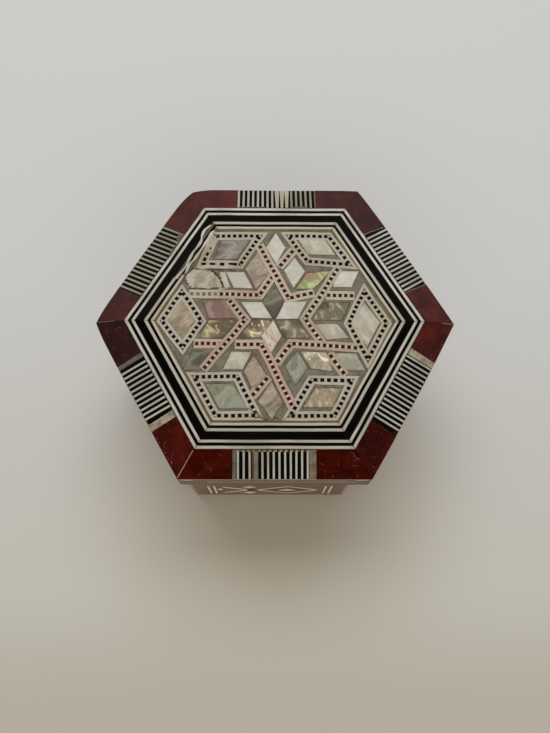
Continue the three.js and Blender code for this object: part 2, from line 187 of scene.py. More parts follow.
class Stock:
    """Closed shapes gathered for one piece: points with UV, rim and shade, and faces by corner count."""

    def __init__(self):
        self.points, self.uv, self.rim, self.shade = [], [], [], []
        self.faces = []
        self.count = 0

    def add(self, points, face_sets, uv, rim, shade, finish=0, smooth=True):
        """Adds shapes whose faces all wind the same way, and turns them outwards by their volume."""
        volume = 0.0
        for faces in face_sets:
            first = points[faces[:, 0]]
            for j in range(1, faces.shape[1] - 1):
                turned = np.cross(points[faces[:, j]], points[faces[:, j + 1]])
                volume += np.einsum("ij,ij->", first, turned)
        for faces in face_sets:
            kept = faces if volume > 0 else faces[:, ::-1]
            self.faces.append((kept + self.count, finish, smooth))
        self.points.append(points)
        self.uv.append(uv)
        self.rim.append(rim)
        self.shade.append(shade)
        self.count += len(points)

    def piece(self, name, body, finishes, slot, replaced=()):
        """Makes the mesh object, in metres, with its finishes in order, and hangs it on its body."""
        mesh = bpy.data.meshes.new(name)
        points = np.concatenate(self.points) * MM
        loops = np.concatenate([f.ravel() for f, _, _ in self.faces])
        sizes = np.concatenate([np.full(len(f), f.shape[1]) for f, _, _ in self.faces])
        finish = np.concatenate([np.full(len(f), m) for f, m, _ in self.faces])
        smooth = np.concatenate([np.full(len(f), s) for f, _, s in self.faces])
        mesh.vertices.add(len(points))
        mesh.vertices.foreach_set("co", points.astype(np.float32).ravel())
        mesh.loops.add(len(loops))
        mesh.loops.foreach_set("vertex_index", loops.astype(np.int32))
        mesh.polygons.add(len(sizes))
        starts = np.concatenate([[0], np.cumsum(sizes)[:-1]])
        mesh.polygons.foreach_set("loop_start", starts.astype(np.int32))
        mesh.polygons.foreach_set("material_index", finish.astype(np.int32))
        mesh.polygons.foreach_set("use_smooth", smooth.astype(bool))
        mesh.update(calc_edges=True)
        layer = mesh.uv_layers.new(name="UVMap")
        uv = np.concatenate(self.uv)[loops] * MM
        layer.data.foreach_set("uv", uv.astype(np.float32).ravel())
        for label, parts in (("rim", self.rim), ("shade", self.shade)):
            attribute = mesh.attributes.new(label, "FLOAT", "POINT")
            attribute.data.foreach_set("value", np.concatenate(parts).astype(np.float32))
        mesh.validate()
        mesh.set_sharp_from_angle(angle=SHARP_ANGLE)
        for sort in finishes:
            mesh.materials.append(FINISHES[sort])
        made = bpy.data.objects.new(name, mesh)
        bpy.context.scene.collection.objects.link(made)
        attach(made, body)
        if replaced:
            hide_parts(*replaced)
        return made


SKIRT = 0.02
SHARP_ANGLE = math.radians(34)


def between(here, ahead):
    """Four-cornered faces that join each ring of point numbers to the ring ahead of it."""
    return np.stack([here, ahead, np.roll(ahead, -1, 1), np.roll(here, -1, 1)], -1).reshape(-1, 4)


def tiles(
    stock, corners, place, thick, edge=0.12, cuts=(2, 2), crown=0.0, finish=0, seed=0, rim=0.8, smooth=False
):
    """Four-cornered cut pieces. A point is the blend of the corners by u and v, both from 0 to 1.

    Along u and along v the stations are the skirt, the foot of the rounded edge, the round and the
    flat middle. The height falls by the larger of the two stations' falls, and a crown adds
    crown * sin(pi u) * sin(pi v). Small pieces leave out the stations that shape the round.
    """
    corners = np.asarray(corners, float).reshape(-1, 4, 2)
    spread = corners - corners[:, :1]
    across = spread[:, 1, 0] * spread[:, 2, 1] - spread[:, 1, 1] * spread[:, 2, 0]
    corners = np.where((across < 0)[:, None, None], corners[:, ::-1], corners)
    count = len(corners)
    sides = np.linalg.norm(np.roll(corners, -1, 1) - corners, axis=2)
    lengths = ((sides[:, 0] + sides[:, 2]) / 2, (sides[:, 1] + sides[:, 3]) / 2)
    fine = min(lengths[0].min(), lengths[1].min()) > 5 * edge and edge > 0.06
    ramp = [-SKIRT, 0.0, 0.3 * edge, edge] if fine else [-SKIRT, 0.0, edge]
    fall = [thick, edge, 0.286 * edge, 0.0] if fine else [thick, edge, 0.0]
    if smooth:
        ramp, fall = ramp + [edge + 0.06, 0.6 * rim, rim], fall + [0.0, 0.0, 0.0]
    ramp, fall = np.array(ramp), np.array(fall)
    grids, falls = [], []
    for length, parts in zip(lengths, cuts):
        start = ramp[None, :] / length[:, None]
        share = np.linspace(0, 1, parts + 1)[1:-1]
        middle = start[:, -1:] + (1 - 2 * start[:, -1:]) * share[None, :]
        grids.append(np.concatenate([start, middle, 1 - start[:, ::-1]], 1))
        falls.append(np.concatenate([fall, np.zeros(parts - 1), fall[::-1]]))
    u, v = grids[0][:, :, None, None], grids[1][:, None, :, None]
    c = corners[:, :, None, None, :]
    flat = (1 - u) * (1 - v) * c[:, 0] + u * (1 - v) * c[:, 1] + u * v * c[:, 2] + (1 - u) * v * c[:, 3]
    u, v = u[..., 0], v[..., 0]
    drop = np.maximum(falls[0][:, None], falls[1][None, :])[None]
    swell = crown * np.sin(np.pi * np.clip(u, 0, 1)) * np.sin(np.pi * np.clip(v, 0, 1))
    points = place(flat[..., 0], flat[..., 1], swell - drop)
    nu, nv = points.shape[1:3]
    index = np.arange(nu * nv).reshape(nu, nv)
    quads = np.stack([index[:-1, :-1], index[1:, :-1], index[1:, 1:], index[:-1, 1:]], -1).reshape(-1, 4)
    ring = np.concatenate([index[:-1, 0], index[-1, :-1], index[:0:-1, -1], index[0, :0:-1]])[::-1]
    offsets = (np.arange(count) * nu * nv)[:, None, None]
    quads = (quads[None] + offsets).reshape(-1, 4)
    foot = ring[None, :] + offsets[:, 0]
    lu, lv = lengths[0][:, None, None], lengths[1][:, None, None]
    away = np.minimum(np.minimum(u, 1 - u) * lu, np.minimum(v, 1 - v) * lv)
    near = np.clip(1 - away / rim, 0, 1)
    uv = np.stack(np.broadcast_arrays(u * lu, v * lv), -1)
    random = np.random.default_rng(seed).random(count)
    shade = np.broadcast_to(random[:, None, None], near.shape)
    points, uv = points.reshape(-1, 3), uv.reshape(-1, 2)
    stock.add(points, [quads, foot], uv, near.ravel(), shade.ravel(), finish, smooth)


def loft(stock, rows, closed=False, finish=0, shade=0.5, rim=0.0):
    """A closed profile carried along a path: rows[i, j] is profile point j at station i.

    The last row joins the first where the path closes on itself, and flat caps end it otherwise. U is
    the way along the path and V the way round the profile.
    """
    stations, around = rows.shape[:2]
    index = np.arange(stations * around).reshape(stations, around)
    ahead = np.roll(index, -1, 0) if closed else index[1:]
    quads = between(index if closed else index[:-1], ahead)
    sets = [quads] if closed else [quads, np.stack([index[0], index[-1][::-1]])]
    along = np.concatenate([[0], np.cumsum(np.linalg.norm(np.diff(rows.mean(1), axis=0), axis=1))])
    round_way = np.concatenate([[0], np.cumsum(np.linalg.norm(np.diff(rows[0], axis=0), axis=1))])
    uv = np.stack(np.broadcast_arrays(along[:, None], round_way[None, :]), -1).reshape(-1, 2)
    edge, shade = (np.broadcast_to(value, (stations, around)).ravel() for value in (rim, shade))
    stock.add(rows.reshape(-1, 3), sets, uv, edge, shade, finish)


def hexagon_ring(per_side):
    """Points once round a hexagon whose apothem is 1, a number of them evenly along each side."""
    share = np.arange(per_side)[:, None] / per_side
    turns = [k * HEX_STEP for k in range(7)]
    corners = np.array([[math.cos(turn), math.sin(turn)] for turn in turns]) / math.cos(HEX_STEP / 2)
    return np.concatenate([a + share * (b - a) for a, b in zip(corners[:-1], corners[1:])])


def dome(stock, pole, rings, foot, rim):
    """A closed shape from a pole: rings of points round it, then the foot's ring, filled by one face."""
    around = len(foot)
    points = np.concatenate([[pole], rings.reshape(-1, 3), foot])
    index = 1 + np.arange((len(rings) + 1) * around).reshape(-1, around)
    fans = np.stack([np.zeros(around, int), index[0], np.roll(index[0], -1)], -1)
    faces = [between(index[:-1], index[1:]), fans, index[-1][None, ::-1]]
    stock.add(points, faces, points[:, :2], rim, np.full(len(points), 0.5))


EDGE_SHADE = 1.5


def hexagon_plate(stock, apothem, bottom, top, centre_x, per_side, falls):
    """A six-sided plate with a worked top: rings of points at growing apothems round a middle pole.

    The height is top(x, y), and falls gives the rounded edge as pairs of inset and drop. The bottom is
    one flat face, and the rim's mark grows from 0 to 1 over the last EDGE_SHADE millimetres.
    """
    insets, drops = np.array(falls).T
    radii = np.linspace(0, apothem - insets[-1], per_side + 1)[1:-1]
    radii = np.concatenate([radii, apothem - insets[::-1]])
    fall = np.concatenate([np.zeros(per_side - 1), drops[::-1]])
    ring = hexagon_ring(per_side)
    flat = radii[:, None, None] * ring[None]
    x, y = flat[..., 0], flat[..., 1]
    rings = np.stack([x + centre_x, y, top(x, y) - fall[:, None]], -1)
    foot = np.stack([x[-1] * 1.0002 + centre_x, y[-1] * 1.0002, np.full(len(ring), bottom)], -1)
    pole = [centre_x, 0.0, float(top(np.zeros(1), np.zeros(1))[0])]
    near = np.repeat(np.clip(1 - (apothem - radii) / EDGE_SHADE, 0, 1), len(ring))
    dome(stock, pole, rings, foot, np.concatenate([[0.0], near, np.ones(len(ring))]))


# Finishes


def srgb(red, green, blue):
    """A colour given as 0 to 255 screen values, in the linear values that sockets hold."""
    values = np.array([red, green, blue]) / 255
    linear = np.where(values <= 0.04045, values / 12.92, ((values + 0.055) / 1.055) ** 2.4)
    return tuple(float(v) for v in linear)


class Tree:
    """Short ways to add and join the nodes of one material or node group."""

    def __init__(self, tree):
        self.nodes, self.links = tree.nodes, tree.links

    def put(self, socket, value):
        """Joins a socket to another, or sets its value."""
        if isinstance(value, bpy.types.NodeSocket):
            self.links.new(value, socket)
        elif isinstance(value, (tuple, list)) and len(value) == 3 and len(socket.default_value) == 4:
            socket.default_value = (*value, 1.0)
        else:
            socket.default_value = value

    def add(self, kind, inputs=(), **properties):
        node = self.nodes.new("ShaderNode" + kind)
        for key, value in properties.items():
            setattr(node, key, value)
        for key, value in dict(inputs).items():
            self.put(node.inputs[key], value)
        return node

    def math(self, operation, a, b=0.0, clamp=False):
        return self.add("Math", {0: a, 1: b}, operation=operation, use_clamp=clamp).outputs[0]

    def times(self, a, b, clamp=False):
        return self.math("MULTIPLY", a, b, clamp)

    def axis(self, vector, letter):
        return self.add("SeparateXYZ", {0: vector}).outputs[letter]

    def noise(self, vector, scale, detail=3.0, roughness=0.55, distortion=0.0):
        values = {"Vector": vector, "Scale": scale, "Detail": detail, "Roughness": roughness}
        return self.add("TexNoise", {**values, "Distortion": distortion}).outputs["Fac"]

    def band(self, value, start, end):
        """0 below start, 1 above end and smooth between; turned round where start is above end."""
        flipped = start > end
        values = {"Value": value, "From Min": min(start, end), "From Max": max(start, end)}
        values |= {"To Min": 1.0 if flipped else 0.0, "To Max": 0.0 if flipped else 1.0}
        return self.add("MapRange", values, interpolation_type="SMOOTHSTEP").outputs[0]

    def span(self, value, start, end):
        """A value from 0 to 1 carried to the range from start to end."""
        values = {"Value": value, "To Min": start, "To Max": end}
        return self.add("MapRange", values).outputs[0]

    def mix(self, factor, a, b, blend="MIX"):
        node = self.add("Mix", data_type="RGBA", blend_type=blend)
        for socket, value in zip((node.inputs[0], node.inputs[6], node.inputs[7]), (factor, a, b)):
            self.put(socket, value)
        return node.outputs[2]

    def stretch(self, vector, scale, turn=(0.0, 0.0, 0.0)):
        return self.add("Mapping", {"Vector": vector, "Scale": scale, "Rotation": turn}).outputs[0]

    def shift(self, vector, amount):
        """Moves the pattern by amount, one number along all three axes."""
        step = self.add("CombineXYZ", {0: amount, 1: amount, 2: amount}).outputs[0]
        return self.add("VectorMath", {0: vector, 1: step}, operation="ADD").outputs[0]


SOCKET_KINDS = {"color": "NodeSocketColor", "value": "NodeSocketFloat", "vector": "NodeSocketVector"}


def shared_group(name, inputs, outputs, build):
    """A node group with named sockets. build(tree, inputs) returns its outputs in order."""
    group = bpy.data.node_groups.new(name, "ShaderNodeTree")
    for label, kind in inputs:
        group.interface.new_socket(label, in_out="INPUT", socket_type=SOCKET_KINDS[kind])
    for label, kind in outputs:
        group.interface.new_socket(label, in_out="OUTPUT", socket_type=SOCKET_KINDS[kind])
    tree = Tree(group)
    taken = group.nodes.new("NodeGroupInput")
    given = group.nodes.new("NodeGroupOutput")
    for socket, value in zip(given.inputs, build(tree, taken.outputs)):
        tree.put(socket, value)
    return group


def build_shell(t, i):
    """Nacre: clouds of blush over the base, soft folds with a painted glint crescent, and streaks of growth.
    """
    place = t.shift(i["Vector"], i["Shade"])
    turned = t.add("VectorRotate", {"Vector": place, "Angle": i["Turn"]}, rotation_type="Z_AXIS").outputs[0]
    clouds = t.noise(turned, 240.0, 3.0, 0.55, 0.4)
    folds = t.noise(t.stretch(turned, (1.0, 0.5, 1.0)), 210.0, 1.0, 0.35, 0.35)
    streaks = t.noise(t.stretch(turned, (1.0, 0.2, 1.0)), 1500.0, 3.0, 0.6, 0.5)
    color = t.mix(t.band(clouds, 0.42, 0.6), i["Base"], i["Blush"])
    color = t.mix(t.times(t.band(folds, 0.5, 0.6), i["Depth"]), color, i["Deep"])
    # Painted glints: a bright crescent along the folds and small sparks turn the colour towards the glow
    crescent = t.band(t.math("ABSOLUTE", t.math("SUBTRACT", folds, 0.46)), 0.055, 0.005)
    crescent = t.times(crescent, t.band(clouds, 0.38, 0.5))
    spark = t.times(t.band(t.noise(turned, 1100.0, 2.0), 0.56, 0.64), t.band(clouds, 0.55, 0.62))
    bright = t.math("MAXIMUM", crescent, spark)
    color = t.mix(t.times(bright, i["Glint"]), color, i["Glow"])
    dark = t.times(t.band(streaks, 0.44, 0.34), i["Lines"])
    color = t.mix(dark, color, t.mix(1.0, color, (0.5, 0.44, 0.38), "MULTIPLY"))
    pale = t.times(t.band(streaks, 0.55, 0.68), i["Lines"])
    color = t.mix(pale, color, t.mix(0.6, color, i["Glow"]))
    height = t.math("ADD", t.times(folds, 0.6), t.times(streaks, 0.4))
    return color, t.span(folds, 0.16, 0.42), height


def build_wood(t, i):
    """Wood: long fibres of three tones along X, pores as short dark dashes."""
    vector = i["Vector"]
    figure = t.noise(t.stretch(vector, (0.12, 1.0, 1.0)), 90.0, 4.0, 0.6, 1.2)
    fibres = t.noise(t.stretch(vector, (0.05, 1.0, 1.0)), 900.0, 4.0, 0.65, 0.3)
    color = t.mix(t.band(figure, 0.35, 0.68), i["Dark"], i["Mid"])
    color = t.mix(t.times(t.band(fibres, 0.45, 0.75), i["Fibres"]), color, i["Light"])
    pores = t.band(t.noise(t.stretch(vector, (0.09, 1.0, 1.0)), 1700.0, 2.0, 0.5), 0.63, 0.7)
    color = t.mix(t.times(pores, 0.5), color, t.mix(1.0, color, (0.3, 0.25, 0.22), "MULTIPLY"))
    height = t.math("SUBTRACT", t.times(fibres, 0.6), t.times(pores, 0.6))
    return color, t.span(fibres, 0.0, 0.12), height


def build_wear(t, i):
    """Use and handling: dark dirt that gathers at rims, pale specks of dust and fine scratches."""
    vector = i["Vector"]
    patch = t.noise(vector, 260.0, 4.0, 0.65)
    near = t.times(i["Rim"], t.span(patch, 0.25, 1.3))
    color = t.mix(t.times(near, i["Dirt"], True), i["Color"], i["Dirt Color"])
    field = t.add("TexVoronoi", {"Vector": vector, "Scale": 1500.0, "Randomness": 1.0})
    dots = t.band(field.outputs["Distance"], 0.26, 0.12)
    sparse = t.band(t.noise(vector, 500.0, 3.0, 0.6), 0.52, 0.66)
    slanting = t.stretch(vector, (0.12, 1.6, 1.0), (0.0, 0.0, 0.7))
    scratch = t.band(t.noise(slanting, 700.0, 2.0, 0.5, 0.4), 0.72, 0.78)
    pale = t.math("MAXIMUM", t.times(dots, sparse), t.times(scratch, 0.6))
    mask = t.times(pale, i["Dust"], True)
    return t.mix(mask, color, i["Dust Color"]), mask


def sockets(**kinds):
    """Pairs of a socket's name and its kind, from the names given for each kind."""
    return [(name, kind) for kind, names in kinds.items() for name in names.split(", ")]


def build_groups():
    """The effects that several finishes share."""
    values, colors = "Shade, Turn, Depth, Glint, Lines", "Base, Blush, Deep, Glow"
    shell = sockets(vector="Vector", value=values, color=colors)
    wood = sockets(vector="Vector", value="Fibres", color="Dark, Mid, Light")
    wear = sockets(vector="Vector", value="Rim, Dirt, Dust", color="Color, Dirt Color, Dust Color")
    surface = sockets(color="Color", value="Roughness, Height")
    return {
        "shell": shared_group("Shell", shell, surface, build_shell),
        "wood": shared_group("Wood", wood, surface, build_wood),
        "wear": shared_group("Wear", wear, sockets(color="Color", value="Mask"), build_wear),
    }


GROUPS = {}
FINISHES = {}
# How deep the bump goes, in metres, on what is polished, what is rubbed, and the pile of the velvet
POLISHED_BUMP = 0.00003
RUBBED_BUMP = 0.00002
PILE_BUMP = 0.0002


def start_finish(name):
    """A new material, its tree, its Principled shader and the Object coordinates."""
    material = bpy.data.materials.new(name)
    material.use_nodes = True
    t = Tree(material.node_tree)
    shader = material.node_tree.nodes["Principled BSDF"]
    place = t.add("TexCoord").outputs["Object"]
    return material, t, shader, place


def attribute(t, name):
    return t.add("Attribute", attribute_name=name).outputs["Fac"]


def use_group(t, name, inputs):
    node = t.nodes.new("ShaderNodeGroup")
    node.node_tree = GROUPS[name]
    for key, value in inputs.items():
        t.put(node.inputs[key], value)
    return node.outputs


def worn(t, color, place, dirt, dirt_color, dust, dust_color):
    """A colour under the shared wear: its outputs are the colour and the mask of the dust."""
    values = {"Color": color, "Vector": place, "Rim": attribute(t, "rim"), "Dirt": dirt}
    values |= {"Dirt Color": dirt_color, "Dust": dust, "Dust Color": dust_color}
    return use_group(t, "wear", values)


def dress(t, shader, color, roughness, height, distance, plain=()):
    """Joins colour, roughness and bump to the shader and sets its plain sockets."""
    t.put(shader.inputs["Base Color"], color)
    t.put(shader.inputs["Roughness"], roughness)
    bump = t.add("Bump", {"Height": height, "Strength": 1.0, "Distance": distance})
    t.put(shader.inputs["Normal"], bump.outputs[0])
    for key, value in dict(plain).items():
        shader.inputs[key].default_value = value


def along_wall(t, place):
    """Object coordinates turned so that X runs level along an upright face, whichever way it looks."""
    normal = t.add("TexCoord").outputs["Normal"]
    level = t.add("VectorMath", {0: (0.0, 0.0, 1.0), 1: normal}, operation="CROSS_PRODUCT").outputs[0]
    along = t.add("VectorMath", {0: place, 1: level}, operation="DOT_PRODUCT").outputs["Value"]
    out = t.add("VectorMath", {0: place, 1: normal}, operation="DOT_PRODUCT").outputs["Value"]
    up = t.axis(place, "Z")
    turned = t.add("CombineXYZ", {0: along, 1: out, 2: up}).outputs[0]
    lying = t.band(t.math("ABSOLUTE", t.axis(normal, "Z")), 0.5, 0.6)
    return t.mix(lying, turned, place)


def shell_finish(name, base, blush, deep, glow, turn, depth, glint, lines):
    """One sort of shell, in the colours of one cut of it, with its growth turned by so many half turns."""
    material, t, shader, place = start_finish(name)
    values = {"Vector": place, "Shade": attribute(t, "shade"), "Turn": turn * math.pi, "Depth": depth}
    values |= {"Base": base, "Blush": blush, "Deep": deep, "Glow": glow, "Glint": glint, "Lines": lines}
    shell = use_group(t, "shell", values)
    used = worn(t, shell["Color"], place, 0.5, srgb(84, 74, 58), 0.12, srgb(215, 210, 196))
    plain = {"Coat Weight": 0.04, "Coat Roughness": 0.2, "Specular IOR Level": 0.12}
    dress(t, shader, used["Color"], shell["Roughness"], shell["Height"], POLISHED_BUMP, plain)
    return material


def wood_finish(
    name, dark, mid, light, follow_uv, gloss, dust, rough, specular=0.5, fibres=0.65, varied=False, sheen=None
):
    """One wood, polished or rubbed. Its fibres run along the U of the piece, or along Object X.

    Varied wood drifts from dark to light by its shade and in clouds. With a sheen it is greyed too:
    a quarter of the way where its shade is at the sheen's first number, and fully at the second.
    """
    material, t, shader, place = start_finish(name)
    vector = t.add("UVMap", uv_map="UVMap").outputs[0] if follow_uv else along_wall(t, place)
    vector = t.shift(vector, attribute(t, "shade")) if follow_uv else vector
    values = {"Vector": vector, "Dark": dark, "Mid": mid, "Light": light, "Fibres": fibres}
    grain = use_group(t, "wood", values)
    tone = grain["Color"]
    if varied:
        depth = t.mix(attribute(t, "shade"), (0.42, 0.34, 0.3), (1.5, 1.7, 1.4))
        tone = t.mix(1.0, tone, depth, "MULTIPLY")
        clouded = t.band(t.noise(place, 190.0, 4.0, 0.62, 0.6), 0.36, 0.64)
        tone = t.mix(1.0, tone, t.mix(clouded, (0.7, 0.6, 0.6), (1.3, 1.5, 1.25)), "MULTIPLY")
    if sheen:
        share = t.span(t.band(attribute(t, "shade"), *sheen), 0.25, 1.0)
        tone = t.mix(share, tone, (0.0, 0.008, 0.0075), "ADD")
    used = worn(t, tone, place, 0.35, srgb(40, 26, 20), dust, srgb(150, 116, 108))
    roughness = t.math("ADD", t.math("ADD", grain["Roughness"], rough), t.times(used["Mask"], 0.4))
    plain = {"Coat Weight": gloss, "Coat Roughness": 0.14, "Specular IOR Level": specular}
    dress(t, shader, used["Color"], roughness, grain["Height"], POLISHED_BUMP, plain)
    return material


def inlay_finish(name, tone, stain, fleck, dirt, rough, gloss=0.0, dust=0.15, specular=0.15):
    """Bone, horn and black veneer: one tone that drifts from piece to piece, with stains and flecks."""
    material, t, shader, place = start_finish(name)
    drift = t.noise(place, 70.0, 3.0)
    color = t.mix(t.band(drift, 0.42, 0.68), tone, stain)
    color = t.mix(t.times(t.band(attribute(t, "shade"), 0.6, 1.0), 0.4), color, stain)
    specks = t.band(t.noise(place, 1500.0, 3.0, 0.6), 0.6, 0.72)
    color = t.mix(t.times(specks, 0.45), color, fleck)
    used = worn(t, color, place, dirt, srgb(84, 66, 50), dust, srgb(190, 180, 166))
    roughness = t.span(drift, rough, rough + 0.2)
    plain = {"Coat Weight": gloss, "Coat Roughness": 0.3, "Specular IOR Level": specular}
    dress(t, shader, used["Color"], roughness, t.noise(place, 1100.0, 4.0, 0.6), RUBBED_BUMP, plain)
    return material


def filler_finish(name, tone, dark, pale, distance):
    """Set filler: mottled, matt and pitted."""
    material, t, shader, place = start_finish(name)
    mottle = t.noise(place, 320.0, 5.0, 0.7)
    grit = t.noise(place, 1900.0, 4.0, 0.7)
    color = t.mix(t.band(mottle, 0.36, 0.62), dark, tone)
    color = t.mix(t.times(t.band(grit, 0.52, 0.7), 0.6), color, pale)
    dress(t, shader, color, t.span(grit, 0.5, 0.85), t.math("ADD", mottle, grit), distance)
    return material


def velvet_finish(name, pile, shadow, sheen):
    """Cut velvet: a short pile whose lay is painted as shadow and sheen, and a pale sheen at a glancing
    angle.
    """
    material, t, shader, place = start_finish(name)
    lay = t.noise(place, 55.0, 3.0, 0.55, 1.0)
    nap = t.noise(t.stretch(place, (1.0, 1.0, 0.6)), 2600.0, 3.0, 0.7)
    # The pile's lay painted into the colour: patches of shadow, then of pale sheen
    color = t.mix(t.band(lay, 0.35, 0.7), shadow, pile)
    color = t.mix(t.times(t.band(nap, 0.4, 0.75), 0.5), color, sheen)
    plain = {"Sheen Weight": 0.6, "Sheen Roughness": 0.35, "Sheen Tint": (*sheen, 1.0)}
    dress(t, shader, color, t.span(nap, 0.75, 1.0), nap, PILE_BUMP, plain)
    return material


def brass_finish(name, bright, dull):
    """Rolled brass: fine lines of the rolling, tarnish in patches."""
    material, t, shader, place = start_finish(name)
    rolled = t.noise(t.stretch(place, (0.06, 1.0, 1.0)), 2200.0, 3.0, 0.6)
    tarnish = t.band(t.noise(place, 240.0, 4.0, 0.65), 0.45, 0.72)
    color = t.mix(tarnish, bright, dull)
    roughness = t.math("ADD", t.span(rolled, 0.2, 0.36), t.times(tarnish, 0.2))
    dress(t, shader, color, roughness, rolled, POLISHED_BUMP, {"Metallic": 1.0})
    return material


# Sorts of shell: base, blush, deep and glow as screen values, then turn, depth, glint and lines. Glow is the
# colour of the pale streaks and of the painted glints, and glint is how strongly the painted glints show
SHELL_SORTS = {
    "white_pearl": ((190, 188, 174), (198, 188, 176), (160, 158, 142), (216, 216, 206), 0.5, 0.35, 0.3, 0.22),
    "cream_pearl": ((174, 170, 149), (180, 168, 152), (148, 142, 120), (206, 202, 184), 0.8, 0.45, 0.35, 0.3),
    "pink_pearl": ((204, 194, 176), (206, 182, 166), (172, 156, 140), (214, 206, 192), 0.9, 0.4, 0.3, 0.85),
    "tan_pearl": ((150, 138, 114), (158, 134, 114), (110, 98, 78), (186, 176, 154), 0.3, 0.5, 0.35, 0.7),
    "golden_pearl": ((148, 134, 106), (156, 145, 116), (104, 90, 66), (198, 188, 158), 0.9, 0.6, 0.7, 0.6),
    "dusky_pearl": ((122, 119, 106), (124, 116, 102), (84, 66, 50), (168, 166, 154), 0.4, 0.8, 0.5, 0.6),
    "glint_abalone": ((178, 166, 142), (160, 146, 120), (134, 122, 99), (236, 230, 214), 1.1, 0.6, 0.95, 0.4),
    "grey_pearl": ((146, 142, 122), (156, 148, 130), (104, 98, 80), (186, 184, 166), 0.4, 0.6, 0.4, 0.4),
    "green_pearl": ((140, 139, 118), (138, 143, 120), (106, 104, 84), (172, 174, 154), 1.1, 0.5, 0.3, 0.6),
    "rosy_pearl": ((154, 140, 119), (160, 138, 120), (118, 104, 86), (190, 177, 156), 0.3, 0.6, 0.35, 0.7),
    "mauve_abalone": ((146, 118, 103), (150, 106, 100), (98, 78, 68), (176, 148, 134), 0.2, 0.6, 0.3, 0.35),
    "gold_abalone": ((128, 116, 88), (148, 134, 98), (76, 64, 48), (196, 184, 134), 0.6, 0.8, 0.8, 0.3),
    "dark_abalone": ((138, 124, 97), (158, 143, 111), (66, 55, 40), (232, 218, 176), 0.8, 0.85, 0.9, 0.25),
    "green_abalone": ((98, 94, 74), (98, 108, 86), (70, 64, 48), (156, 132, 114), 1.3, 0.8, 0.5, 0.35),
    "bright_abalone": ((152, 144, 106), (130, 152, 90), (160, 114, 100), (204, 208, 150), 0.7, 0.8, 0.7, 0.2),
    "grey_abalone": ((106, 98, 76), (114, 104, 88), (66, 56, 41), (190, 178, 144), 0.85, 0.85, 0.7, 0.25),
}
# Woods: dark, middle and light as screen values, whether the fibres follow the UV, gloss, dust, roughness
WOOD_SORTS = {
    "side_veneer": ((86, 62, 44), (108, 80, 59), (132, 102, 78), False, 0.15, 0.25, 0.4),
    "lid_side_veneer": ((72, 46, 31), (92, 61, 43), (112, 79, 57), True, 0.15, 0.25, 0.4),
    "plain_wood": ((132, 88, 58), (160, 112, 78), (184, 138, 98), False, 0.1, 0.1, 0.5),
}
# The front mahogany is deeper and redder, and greyed by its shade on the sides next to the front
MAHOGANY_TONES = (0.7, 1.0, 1.45)
FRONT_SHARES = (0.76, 0.56, 0.5)
FRONT_SHEENS = {"front_mahogany": None, "left_mahogany": (0.5, 0.4), "right_mahogany": (0.5, 0.6)}
# Bone, horn, veneer and glue: tone, stain and fleck as screen values, dirt and roughness, and where they are
# not the usual ones, gloss, dust and specular. A tone of None is a colour that the user sets
INLAY_SORTS = {
    "line_bone": (None, (164, 160, 146), (150, 138, 118), 0.4, 0.3),
    # The next two are copies of line_bone: darker for the front side as painted shade, lighter for the back
    # as painted light
    "front_line_bone": ((180, 172, 158), (153, 148, 133), (150, 138, 118), 0.4, 0.3),
    "back_line_bone": ((203, 196, 186), (173, 169, 156), (150, 138, 118), 0.4, 0.3),
    # The black veneer darkened as painted shade, for the sides nearest the front
    "deep_black_veneer": ((4, 3, 3), (8, 7, 6), (20, 18, 17), 0.05, 0.5, 0.0, 0.015, 0.01),
    "thin_line_bone": ((180, 177, 164), (164, 160, 146), (140, 132, 114), 0.4, 0.3),
    "inner_line_bone": ((192, 183, 168), (180, 167, 144), (140, 128, 104), 0.4, 0.3),
    "chalky_bone": ((206, 197, 176), (186, 174, 150), (132, 116, 98), 0.6, 0.5),
    "fillet_bone": ((210, 193, 174), (196, 177, 158), (150, 128, 108), 0.4, 0.4),
    "rosy_bone": (None, (190, 166, 146), (150, 114, 94), 0.4, 0.35),
    "aged_bone": ((186, 176, 150), (168, 148, 112), (120, 100, 76), 0.6, 0.4),
    "stripe_bone": ((186, 184, 172), (164, 160, 146), (120, 114, 100), 0.3, 0.35),
    "yellowed_bone": ((150, 142, 110), (126, 116, 86), (92, 80, 58), 0.4, 0.4),
    "grey_bone": ((156, 154, 134), (136, 132, 112), (98, 92, 76), 0.35, 0.4),
    "wall_bone": ((214, 196, 170), (190, 170, 142), (150, 128, 104), 0.15, 0.4),
    "brown_horn": ((58, 42, 30), (80, 60, 42), (34, 24, 18), 0.1, 0.4, 0.0, 0.1, 0.2),
    "black_veneer": ((9, 8, 8), (15, 13, 13), (26, 23, 22), 0.05, 0.5, 0.0, 0.03, 0.02),
    "dark_horn": ((34, 13, 4), (48, 20, 8), (22, 9, 4), 0.05, 0.4, 0.0, 0.05, 0.08),
    "red_horn": ((46, 5, 2), (60, 10, 5), (26, 4, 2), 0.05, 0.4, 0.0, 0.05, 0.08),
    "beige_bone": ((184, 166, 144), (184, 158, 139), (140, 120, 102), 0.4, 0.4),
    "pale_rosy_bone": ((202, 185, 166), (198, 175, 155), (152, 132, 112), 0.4, 0.4),
    "cream_bone": ((184, 174, 150), (176, 164, 134), (138, 124, 98), 0.4, 0.4),
    "frame_bone": ((193, 186, 169), (182, 170, 148), (136, 128, 108), 0.4, 0.4),
    "glue": ((50, 44, 34), (66, 58, 44), (34, 30, 24), 0.1, 0.5, 0.0, 0.0, 0.2),
    "yellow_glue": ((110, 96, 52), (70, 60, 40), (130, 120, 80), 0.1, 0.5, 0.0, 0.0, 0.2),
    "old_glue": ((122, 106, 70), (84, 72, 52), (60, 50, 34), 0.4, 0.45, 0.0, 0.1, 0.2),
}
